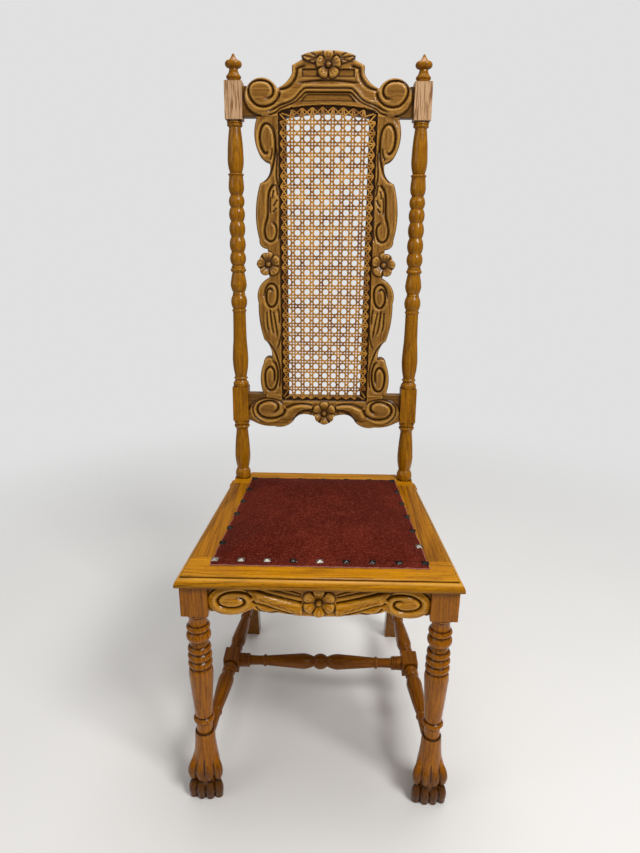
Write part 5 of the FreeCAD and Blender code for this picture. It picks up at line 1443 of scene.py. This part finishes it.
def webbing():
    """Three straps each way under the seat, woven over and under."""
    low, high = span("seat_webbing")
    middle = (low[2] + high[2]) / 2
    xs = [(i - 1) * WEBBING_REAR_HALF * 2 / 3 for i in range(3)]
    front, rear = low[1], high[1]
    clear = rear - front - 2 * STRAP_MARGIN
    ys = [front + STRAP_MARGIN + (i + 0.5) * clear / 3 for i in range(3)]
    step_x, step_y = xs[1] - xs[0], ys[1] - ys[0]
    straps = []
    for i, x in enumerate(xs):
        straps.append(strap(
            f"webbing_long_{i + 1}", (x, front), (x, rear),
            lambda px, py, i=i: middle + over_under((py - ys[0]) / step_y + i)))
    for j, y in enumerate(ys):
        half = WEBBING_HALF - (y - front) * WEBBING_TAPER
        straps.append(strap(
            f"webbing_cross_{j + 1}", (-half, y), (half, y),
            lambda px, py, j=j: middle - over_under((px - xs[0]) / step_x + j)))
    return straps


def hessian():
    """Hessian stretched over the opening of the seat frame, on the webbing."""
    low, high = span("hessian")
    rows = columns = 40
    a, b = np.meshgrid(np.linspace(-1, 1, columns), np.linspace(0, 1, rows))
    y = low[1] + b * (high[1] - low[1])
    front_half, rear_half = high[0], HESSIAN_REAR_HALF
    x = a * (front_half + (rear_half - front_half) * b)
    sag = 0.12 * np.cos(x / 7) * np.cos(y / 7)
    top = np.stack([x, y, high[2] - 0.2 + sag], -1).reshape(-1, 3)
    bottom = top - [0, 0, HESSIAN_THICKNESS]
    piece = make_piece("hessian_sheet", np.concatenate([top, bottom]),
                       two_sided(rows, columns), "hessian", ("hessian",))
    return piece


def tone(code):
    """Linear colour of an sRGB hex value."""
    parts = [int(code[i:i + 2], 16) / 255 for i in (1, 3, 5)]
    linear = [p / 12.92 if p <= 0.04045 else ((p + 0.055) / 1.055) ** 2.4 for p in parts]
    return (*linear, 1.0)


def add_node(tree, kind, inputs, out=0, **settings):
    """Add one node with its settings, link or set its inputs, each named or numbered,
    and return one of its outputs."""
    node = tree.nodes.new("ShaderNode" + kind)
    for key, value in settings.items():
        setattr(node, key, value)
    for key, value in inputs.items():
        if isinstance(value, bpy.types.NodeSocket):
            tree.links.new(value, node.inputs[key])
        else:
            node.inputs[key].default_value = value
    return node.outputs[out] if len(node.outputs) else None


# Settings that many nodes share. A Mix takes its share at input 0 and its colours at 6
# and 7. A Map Range takes its value at 0, the range at 1 and 2 and the results at 3 and 4.
COLOURS = {"out": 2, "data_type": "RGBA"}
EASED = {"interpolation_type": "SMOOTHSTEP"}
TIMES = {"operation": "MULTIPLY"}


def new_material(name):
    """Empty material, with add_node bound to it."""
    material = bpy.data.materials.new(name)
    material.use_nodes = True
    material.node_tree.nodes.clear()
    return material, partial(add_node, material.node_tree)


GRAIN_ORDER = {"X": (1, 2, 0), "Y": (0, 2, 1), "Z": (0, 1, 2)}
PITH = (0.06, 0.11, 0)
# Colour of the painted shade, with stain, in the hollows.
STAIN_AND_SHADE = "#1F0C02"
# Brown of the pores, also used for the painted shade under the seat.
PORE_AND_SHADE_BROWN = "#4C2304"
# Colour of the painted highlight on proud places, where the varnish is also rubbed pale.
RUBBED_AND_HIGHLIGHT = "#E0AA50"
BLEACHED = ("#D8B088", "#8A6444")


def stretched(add, turned, share, scale, detail, rough=0.5):
    """Noise drawn out along the grain."""
    pulled = add("VectorMath", {0: turned, 1: (1, 1, share)}, **TIMES)
    return add("TexNoise", {"Vector": pulled, "Scale": scale, "Detail": detail,
                            "Roughness": rough})


def growth_rings(add, turned, drift, ring):
    """Yearly rings: a saw tooth of the distance from the pith in ring widths, dark just
    before each step and fading slowly after it. The pith lies outside the board, and
    the lines are broken by flecks and fainter where the drift is low."""
    shortened = add("VectorMath", {0: turned, 1: (1, 1, 0.04)}, **TIMES)
    shifted = add("VectorMath", {0: shortened, 1: PITH}, operation="ADD")
    away = add("VectorMath", {0: shifted}, out="Value", operation="LENGTH")
    wandering = add("Math", {0: drift, 1: 0.06, 2: away}, operation="MULTIPLY_ADD")
    years = add("Math", {0: wandering, 1: 1000 / ring}, **TIMES)
    saw = add("Math", {0: years}, operation="FRACT")
    after = add("MapRange", {0: saw, 1: 0.0, 2: 0.55, 3: 1.0, 4: 0.0}, **EASED)
    before = add("MapRange", {0: saw, 1: 0.86, 2: 1.0}, **EASED)
    line = add("Math", {0: after, 1: before}, operation="MAXIMUM")
    flecks = stretched(add, turned, 0.05, 430.0, 2.0, 0.6)
    broken = add("MapRange", {0: flecks, 1: 0.36, 2: 0.62, 3: 0.35, 4: 1.0}, **EASED)
    patchy = add("MapRange", {0: drift, 1: 0.36, 2: 0.62, 3: 0.35, 4: 1.0}, **EASED)
    return add("Math", {0: add("Math", {0: line, 1: broken}, **TIMES), 1: patchy}, **TIMES)


def bleached_wood(add, turned, height, worn, wood):
    """Wood with a pale, veined stretch between the two heights of worn, where the
    varnish is rubbed off."""
    foot = add("MapRange", {0: height, 1: worn[0] - 0.003, 2: worn[0] + 0.001}, **EASED)
    head = add("MapRange", {0: height, 1: worn[1] - 0.001, 2: worn[1] + 0.003,
                            3: 1.0, 4: 0.0}, **EASED)
    bare = add("Math", {0: add("Math", {0: foot, 1: head}, **TIMES), 1: 0.85}, **TIMES)
    veins = add("MapRange", {0: stretched(add, turned, 0.03, 420.0, 2.0), 1: 0.42, 2: 0.66},
                **EASED)
    pale = add("Mix", {0: veins, 6: tone(BLEACHED[0]), 7: tone(BLEACHED[1])}, **COLOURS)
    return add("Mix", {0: bare, 6: wood, 7: pale}, **COLOURS)


def varnished_oak(name, grain, light, deep, carved=False, worn=None, shade_below=None, figure=0.5,
                  ring=6.0, gloss=0.27):
    """Flat-sawn oak under an old glossy varnish. To the eye: yearly rings drawn by
    broken dark lines of pores that widen into flames on flat faces, short pores in
    between, a slow drift of tone, and painted shade with dark stain in every hollow.
    grain is the axis that it runs along, ring the ring width in millimetres, carved
    says that the piece carries its own painted shade, painted highlight and stain,
    worn is a stretch of height where the varnish is rubbed off and the wood has
    bleached, and below the height set for the shade under the seat the wood is
    darkened as painted shade."""
    material, add = new_material(name)
    place = add("TexCoord", {}, out="Object")
    parts = add("SeparateXYZ", {0: place}).node.outputs
    turned = add("CombineXYZ", {i: parts[axis] for i, axis in enumerate(GRAIN_ORDER[grain])})
    drift = stretched(add, turned, 0.12, 15.0, 2.0)
    rings = growth_rings(add, turned, drift, ring)

    # Pores are 0.2 mm wide; they are drawn over 1 mm wide so that they show.
    dots = stretched(add, turned, 0.14, 760.0, 2.0, 0.6)
    pores = add("MapRange", {0: dots, 1: 0.53, 2: 0.68}, **EASED)
    streaks = stretched(add, turned, 0.03, 300.0, 3.0)
    streak = add("MapRange", {0: streaks, 1: 0.30, 2: 0.72, 4: 0.75}, **EASED)
    wood = add("Mix", {0: streak, 6: tone(light), 7: tone(deep)}, **COLOURS)
    for lines, strength in ((rings, figure), (pores, 0.45)):
        share = add("Math", {0: lines, 1: strength}, **TIMES)
        wood = add("Mix", {0: share, 6: wood, 7: tone(PORE_AND_SHADE_BROWN)}, **COLOURS)
    # Painted shade under the seat, below the given height.
    if shade_below:
        low = add("MapRange", {0: parts[2], 1: shade_below, 2: shade_below - 0.03, 4: 0.55}, **EASED)
        wood = add("Mix", {0: low, 6: wood, 7: tone(PORE_AND_SHADE_BROWN)}, **COLOURS)
    if worn:
        wood = bleached_wood(add, turned, parts[2], worn, wood)

    # Painted shade with stain in the hollows, from an occlusion pass and, above 0, the piece's own
    # values; below 0 a painted highlight where the varnish is also rubbed.
    clear = add("AmbientOcclusion", {"Distance": 0.005}, out="AO", samples=6, only_local=True)
    shaded = add("MapRange", {0: clear, 1: 0.90, 2: 0.42}, **EASED)
    if carved:
        stain = add("Attribute", {}, out="Fac", attribute_name="stain")
        shaded = add("Math", {0: stain, 1: shaded}, operation="MAXIMUM")
        rubbed_and_highlit = add("MapRange", {0: stain, 1: -1.0, 2: 0.0, 3: 0.46, 4: 0.0}, **EASED)
        wood = add("Mix", {0: rubbed_and_highlit, 6: wood, 7: tone(RUBBED_AND_HIGHLIGHT)}, **COLOURS)
    shaded = add("Math", {0: shaded, 1: 0.93}, **TIMES)
    colour = add("Mix", {0: shaded, 6: wood, 7: tone(STAIN_AND_SHADE)}, **COLOURS)
    rough = add("MapRange", {0: drift, 1: 0.3, 2: 0.7, 3: gloss - 0.05, 4: gloss + 0.10})
    open_grain = add("Math", {0: pores, 1: rings}, operation="MAXIMUM")
    bump = add("Bump", {"Strength": 0.35, "Distance": 0.00018,
                        "Height": add("Math", {0: open_grain, 1: -1.0}, **TIMES)})
    surface = add("BsdfPrincipled", {
        "Base Color": colour, "Roughness": rough, "Normal": bump, "IOR": 1.45,
        "Specular IOR Level": 0.17, "Coat Weight": 0.22, "Coat Roughness": 0.10})
    add("OutputMaterial", {"Surface": surface})
    return material


def worn_velvet():
    """Burgundy cotton velvet, cut pile, flattened where it is sat on. To the eye: a
    deep brownish red that goes paler in soft patches, a fine lighter speckle from
    the pile, painted shade in the folds, and a pink raw edge where it was cut."""
    material, add = new_material("worn_velvet")
    place = add("TexCoord", {}, out="Object")
    patch = add("TexNoise", {"Vector": place, "Scale": 9.0, "Detail": 3.0, "Roughness": 0.6})
    rows = []
    for share in ((1.0, 0.22, 1.0), (0.22, 1.0, 1.0)):
        pulled = add("VectorMath", {0: place, 1: share}, **TIMES)
        # Real tufts are finer; they are drawn 1.6 mm apart so that they show.
        rows.append(add("TexNoise", {"Vector": pulled, "Scale": 620.0, "Detail": 2.0,
                                     "Roughness": 0.6}))
    pile = add("Math", {0: rows[0], 1: rows[1]}, operation="ADD")
    worn = add("MapRange", {0: patch, 1: 0.42, 2: 0.66, 4: 0.8}, **EASED)
    cloth = add("Mix", {0: worn, 6: tone("#4C1105"), 7: tone("#621D0F")}, **COLOURS)
    # Painted shade in the folds and the crease, from an occlusion pass.
    clear = add("AmbientOcclusion", {"Distance": 0.008}, out="AO", samples=6)
    rim = add("Attribute", {}, out="Fac", attribute_name="edge")
    uneven = add("Math", {0: pile, 1: -1.5, 2: rim}, operation="MULTIPLY_ADD")
    for value, low, high, start, end, shade in (
            (pile, 1.0, 1.32, 0.0, 0.55, "#8A4430"), (pile, 0.72, 0.98, 0.6, 0.0, "#2E0904"),
            (clear, 0.92, 0.55, 0.0, 0.75, "#220603"), (uneven, -1.6, 0.6, 0.75, 0.0, "#B3776C")):
        share = add("MapRange", {0: value, 1: low, 2: high, 3: start, 4: end})
        cloth = add("Mix", {0: share, 6: cloth, 7: tone(shade)}, **COLOURS)
    bump = add("Bump", {"Strength": 0.5, "Distance": 0.0006, "Height": pile})
    surface = add("BsdfPrincipled", {
        "Base Color": cloth, "Normal": bump, "Roughness": 0.95, "Specular IOR Level": 0.12,
        "Sheen Weight": 0.03, "Sheen Roughness": 0.4, "Sheen Tint": tone("#D08A78")})
    add("OutputMaterial", {"Surface": surface})
    return material


def split_cane():
    """Split rattan, aged to straw gold. To the eye: a shiny skin with fine lines
    along the strand and darker joints here and there."""
    material, add = new_material("split_cane")
    place = add("TexCoord", {}, out="Object")
    patch = add("TexNoise", {"Vector": place, "Scale": 45.0, "Detail": 3.0})
    fine = add("TexNoise", {"Vector": place, "Scale": 1500.0, "Detail": 1.0})
    mixed = add("Math", {0: fine, 1: 0.3, 2: patch}, operation="MULTIPLY_ADD")
    deep = add("MapRange", {0: mixed, 1: 0.45, 2: 0.85})
    straw = add("Mix", {0: deep, 6: tone("#D79A3E"), 7: tone("#7E4810")}, **COLOURS)
    # Painted shade where the strands cross and dip into the holes, from an occlusion pass.
    closed = add("AmbientOcclusion", {"Distance": 0.003}, out="AO", samples=6)
    hollow = add("MapRange", {0: closed, 1: 0.85, 2: 0.25, 4: 0.85})
    colour = add("Mix", {0: hollow, 6: straw, 7: tone("#351A06")}, **COLOURS)
    bump = add("Bump", {"Strength": 0.3, "Distance": 0.0002, "Height": fine})
    surface = add("BsdfPrincipled", {"Base Color": colour, "Normal": bump, "Roughness": 0.38,
                                     "Specular IOR Level": 0.25})
    add("OutputMaterial", {"Surface": surface})
    return material


def antiqued_metal():
    """Steel nail heads with a worn pewter plate. To the eye: bright facets beside
    nearly black ones, with hammer marks."""
    material, add = new_material("antiqued_nail")
    place = add("TexCoord", {}, out="Object")
    kind = add("Attribute", {}, out="Fac", attribute_name="tone")
    spots = add("TexNoise", {"Vector": place, "Scale": 420.0, "Detail": 3.0})
    mixed = add("Math", {0: spots, 1: 1.6, 2: kind}, operation="MULTIPLY_ADD")
    dark = add("MapRange", {0: mixed, 1: 0.80, 2: 1.45})
    colour = add("Mix", {0: dark, 6: tone("#B5B1A6"), 7: tone("#1C1B18")}, **COLOURS)
    bump = add("Bump", {"Strength": 0.5, "Distance": 0.0004, "Height": spots})
    surface = add("BsdfPrincipled", {"Base Color": colour, "Normal": bump, "Metallic": 0.85,
                                     "Roughness": 0.42})
    add("OutputMaterial", {"Surface": surface})
    return material


def screw_steel():
    """Plain zinc-coated screw steel. To the eye: dull grey with a fine mottle."""
    material, add = new_material("zinc_screw_steel")
    place = add("TexCoord", {}, out="Object")
    mottle = add("TexNoise", {"Vector": place, "Scale": 600.0, "Detail": 2.0})
    colour = add("Mix", {0: mottle, 6: tone("#8E9093"), 7: tone("#C9CBCC")}, **COLOURS)
    surface = add("BsdfPrincipled", {"Base Color": colour, "Metallic": 1.0, "Roughness": 0.4})
    add("OutputMaterial", {"Surface": surface})
    return material


def jute(name, light, deep, thread):
    """Plain-woven jute. To the eye: coarse threads each way, thread millimetres
    apart, with darker gaps between them and an uneven straw colour."""
    material, add = new_material(name)
    place = add("TexCoord", {}, out="Object")
    # A wave of scale 1 repeats every 314 mm, and one repeat is two threads.
    waves = [add("TexWave", {"Vector": place, "Scale": 314.16 / thread / 2,
                             "Distortion": 0.6, "Detail": 1.0}, out="Fac",
                 wave_type="BANDS", bands_direction=axis) for axis in ("X", "Y")]
    weave = add("Math", {0: waves[0], 1: waves[1]}, **TIMES)
    patch = add("TexNoise", {"Vector": place, "Scale": 60.0, "Detail": 3.0})
    base = add("Mix", {0: patch, 6: tone(light), 7: tone(deep)}, **COLOURS)
    gaps = add("MapRange", {0: weave, 1: 0.0, 2: 0.4, 3: 0.6, 4: 0.0})
    colour = add("Mix", {0: gaps, 6: base, 7: tone("#4A3820")}, **COLOURS)
    bump = add("Bump", {"Strength": 0.8, "Distance": 0.0005, "Height": weave})
    surface = add("BsdfPrincipled", {"Base Color": colour, "Normal": bump, "Roughness": 0.95})
    add("OutputMaterial", {"Surface": surface})
    return material


def finish_with(material, *things):
    """Give pieces or nodes one material."""
    for thing in things:
        slots = thing.material_slots
        if len(slots):
            for slot in slots:
                slot.material = material
        else:
            thing.data.materials.append(material)


def build_pieces():
    """All pieces of oak that take the place of nodes, by name."""
    made = {
        "crest": board_piece("carved_crest_rail", crest_outline(), carve_crest, crest_place,
                             BACK_THICKNESS, "crest_rail"),
        "lower": board_piece("carved_lower_rail", lower_outline(), carve_lower, lower_place,
                             BACK_THICKNESS, "lower_back_rail"),
        "apron": board_piece("carved_front_rail", apron_outline(), carve_apron, apron_place,
                             APRON_THICKNESS, "seat_rail_front")}
    surface = leg_surface()
    for word, side in (("left", -1), ("right", 1)):
        outline = stile_outline()
        outline = outline[::-1] if side > 0 else outline * [-1, 1]
        made["stile_" + word] = board_piece("carved_stile_" + word, outline, carve_stile,
                                            stile_place, BACK_THICKNESS, "back_stile_" + word)
        made["leg_" + word] = front_leg(word, side, surface)
    made["board_front"], made["board_left"], made["board_right"] = seat_boards()
    return made


# Tones of the oak, each as (pale, deep), by where the varnish sits. The stretchers' tones are
# darkened as painted shade under the seat.
SEAT_TONES = ("#CC8A08", "#A05E08")
SIDE_TONES = ("#B07208", "#7E4606")
APRON_TONES = ("#CC8A0C", "#9A5C04")
FRONT_TONES = ("#AC6600", "#7E4600")
BACK_TONES = ("#A87632", "#6E4416")
POST_TONES = ("#B0740E", "#824E08")
# Darkened as painted shade under the seat.
STRETCHER_SHADED_TONES = ("#8E5200", "#5E3000")
WORN_BLOCK = (1.169, 1.233)
# Height below which the rear posts are darkened as painted shade under the seat.
REAR_LEG_SHADE_TOP = 0.44

# Oak finishes: name, grain, tones, settings, and the pieces and nodes that take them.
OAK_FINISHES = (
    ("back_oak_crest", "X", BACK_TONES, {"carved": True, "figure": 0.45}, ("crest",)),
    ("back_oak_lower", "X", BACK_TONES, {"carved": True, "figure": 0.45}, ("lower",)),
    ("back_oak_stile", "Z", BACK_TONES, {"carved": True, "figure": 0.45},
     ("stile_left", "stile_right")),
    ("front_oak_rail", "X", APRON_TONES, {"carved": True, "figure": 0.35, "gloss": 0.20},
     ("apron",)),
    ("front_oak_leg", "Z", FRONT_TONES, {"carved": True, "figure": 0.45, "gloss": 0.17},
     ("leg_left", "leg_right")),
    ("post_oak", "Z", POST_TONES, {"worn": WORN_BLOCK, "shade_below": REAR_LEG_SHADE_TOP, "gloss": 0.20},
     ("rear_post_left", "rear_post_right")),
    ("seat_oak_front", "X", SEAT_TONES, {"carved": True, "figure": 0.65, "ring": 7.5},
     ("board_front",)),
    ("seat_oak_sides", "Y", SIDE_TONES, {"carved": True, "figure": 0.8, "ring": 7.5},
     ("board_left", "board_right")),
    ("seat_oak_rear", "X", SEAT_TONES, {"ring": 7.5}, ("seat_board_rear",)),
    ("stretcher_oak_along", "Y", STRETCHER_SHADED_TONES, {},
     ("side_stretcher_left", "side_stretcher_right")),
    ("stretcher_oak_across", "X", STRETCHER_SHADED_TONES, {}, ("cross_stretcher",)),
    ("rail_oak_along", "Y", FRONT_TONES, {}, ("seat_rail_left", "seat_rail_right")),
    ("rail_oak_across", "X", FRONT_TONES, {},
     ("seat_rail_rear", "corner_block_front_left", "corner_block_front_right",
      "corner_block_rear_left", "corner_block_rear_right")))


def dress(made):
    """Materials for the new pieces of oak and for the nodes that stay."""
    for name, grain, tones, settings, words in OAK_FINISHES:
        things = [made[word] if word in made else nodes[word] for word in words]
        finish_with(varnished_oak(name, grain, *tones, **settings), *things)
    finish_with(screw_steel(), nodes["seat_screws"])


# The viewpoint: a standing viewer close in front, looking down.
CAMERA_PLACE = (16.38, -1121.92, 1027.76)
CAMERA_YAW = math.radians(-1.12)
CAMERA_PITCH = math.radians(-19.32)
CAMERA_ROLL = math.radians(0.52)
FOCAL_PIXELS = 641.22
IMAGE_HEIGHT = 853
SENSOR = 36.0


def camera():
    """Camera from its place and its yaw, pitch and roll."""
    ahead = np.array([math.sin(CAMERA_YAW) * math.cos(CAMERA_PITCH),
                      math.cos(CAMERA_YAW) * math.cos(CAMERA_PITCH), math.sin(CAMERA_PITCH)])
    level = np.array([math.cos(CAMERA_YAW), -math.sin(CAMERA_YAW), 0])
    over = np.cross(level, ahead)
    right = math.cos(CAMERA_ROLL) * level + math.sin(CAMERA_ROLL) * over
    up = -math.sin(CAMERA_ROLL) * level + math.cos(CAMERA_ROLL) * over
    data = bpy.data.cameras.new("viewer")
    data.sensor_fit = "AUTO"
    data.sensor_width = SENSOR
    data.lens = FOCAL_PIXELS / IMAGE_HEIGHT * SENSOR
    data.clip_start = 0.05
    viewer = bpy.data.objects.new("viewer", data)
    bpy.context.scene.collection.objects.link(viewer)
    turn = np.eye(4)
    turn[:3, 0], turn[:3, 1], turn[:3, 2] = right, up, -ahead
    turn[:3, 3] = np.array(CAMERA_PLACE) * MM
    viewer.matrix_world = Matrix(turn.tolist())
    bpy.context.scene.camera = viewer


def soft_box(name, place, aim, size, power):
    """Area lamp at a place, turned to a point; metres and watts."""
    data = bpy.data.lights.new(name, "AREA")
    data.shape = "RECTANGLE"
    data.size, data.size_y = size
    data.energy = power
    lamp = bpy.data.objects.new(name, data)
    bpy.context.scene.collection.objects.link(lamp)
    lamp.location = place
    away = np.array(place) - np.array(aim)
    away = away / np.linalg.norm(away)
    side = np.cross([0, 0, 1], away)
    side = side / np.linalg.norm(side)
    up = np.cross(away, side)
    turn = np.eye(4)
    turn[:3, 0], turn[:3, 1], turn[:3, 2], turn[:3, 3] = side, up, away, place
    lamp.matrix_world = Matrix(turn.tolist())


# The studio, in metres and watts: half the floor's width, where the floor fades out, how
# strong the background lights the chair and how bright it is seen, and the soft boxes by
# name, place, aim, size and power.
FLOOR_REACH = 5.0
FLOOR_FADE = (0.60, 2.0)
ROOM_LIGHT = 0.20
ROOM_SEEN = 0.75
LAMPS = (("key", (1.5, -1.7, 2.7), (0, 0, 0.6), (1.1, 0.9), 64),
         ("fill", (-2.2, -1.4, 1.8), (0, 0, 0.6), (1.6, 1.6), 11),
         ("top", (0.2, 0.4, 3.0), (0, 0, 0.5), (1.6, 1.6), 35))


def pale_floor():
    """Matt pale floor that fades into the background away from the chair, so that no
    horizon shows. To the eye: an even off-white that keeps the chair's shadow."""
    material, add = new_material("pale_floor")
    place = add("TexCoord", {}, out="Object")
    away = add("VectorMath", {0: place}, out="Value", operation="LENGTH")
    fade = add("MapRange", {0: away, 1: FLOOR_FADE[0], 2: FLOOR_FADE[1]}, **EASED)
    matt = add("BsdfPrincipled", {"Base Color": tone("#EFEDEA"), "Roughness": 0.9,
                                  "Specular IOR Level": 0.1})
    clear = add("BsdfTransparent", {})
    surface = add("MixShader", {0: fade, 1: matt, 2: clear})
    add("OutputMaterial", {"Surface": surface})
    return material


def studio():
    """Pale floor, pale background and soft light from the upper right."""
    scene = bpy.context.scene
    mesh = bpy.data.meshes.new("floor")
    corners = [(x * FLOOR_REACH, y * FLOOR_REACH, 0)
               for x, y in ((-1, -1), (1, -1), (1, 1), (-1, 1))]
    mesh.from_pydata(corners, [], [(0, 1, 2, 3)])
    floor = bpy.data.objects.new("floor", mesh)
    scene.collection.objects.link(floor)
    mesh.materials.append(pale_floor())
    world = bpy.data.worlds.new("pale_room")
    scene.world = world
    world.use_nodes = True
    world.node_tree.nodes.clear()
    add = partial(add_node, world.node_tree)
    rays = add("LightPath", {}).node.outputs
    seen = add("Math", {0: rays["Is Camera Ray"], 1: rays["Is Transmission Ray"]},
               operation="MAXIMUM")
    strength = add("MapRange", {0: seen, 3: ROOM_LIGHT, 4: ROOM_SEEN})
    back = add("Background", {"Color": (1, 1, 1, 1), "Strength": strength})
    add("OutputWorld", {"Surface": back})
    for lamp in LAMPS:
        soft_box(*lamp)
    scene.view_settings.view_transform = "Standard"


made = build_pieces()
dress(made)
finish_with(split_cane(), cane_panel())
finish_with(worn_velvet(), velvet_pad())
nail_finish = antiqued_metal()
for seed, (word, places) in enumerate(nail_rows().items()):
    finish_with(nail_finish, nail_row(word, places, seed + 11))
finish_with(jute("jute_webbing", "#B79C6B", "#8F7443", 2.4), *webbing())
finish_with(jute("hessian_cloth", "#B09565", "#8A7043", 1.6), hessian())
camera()
studio()
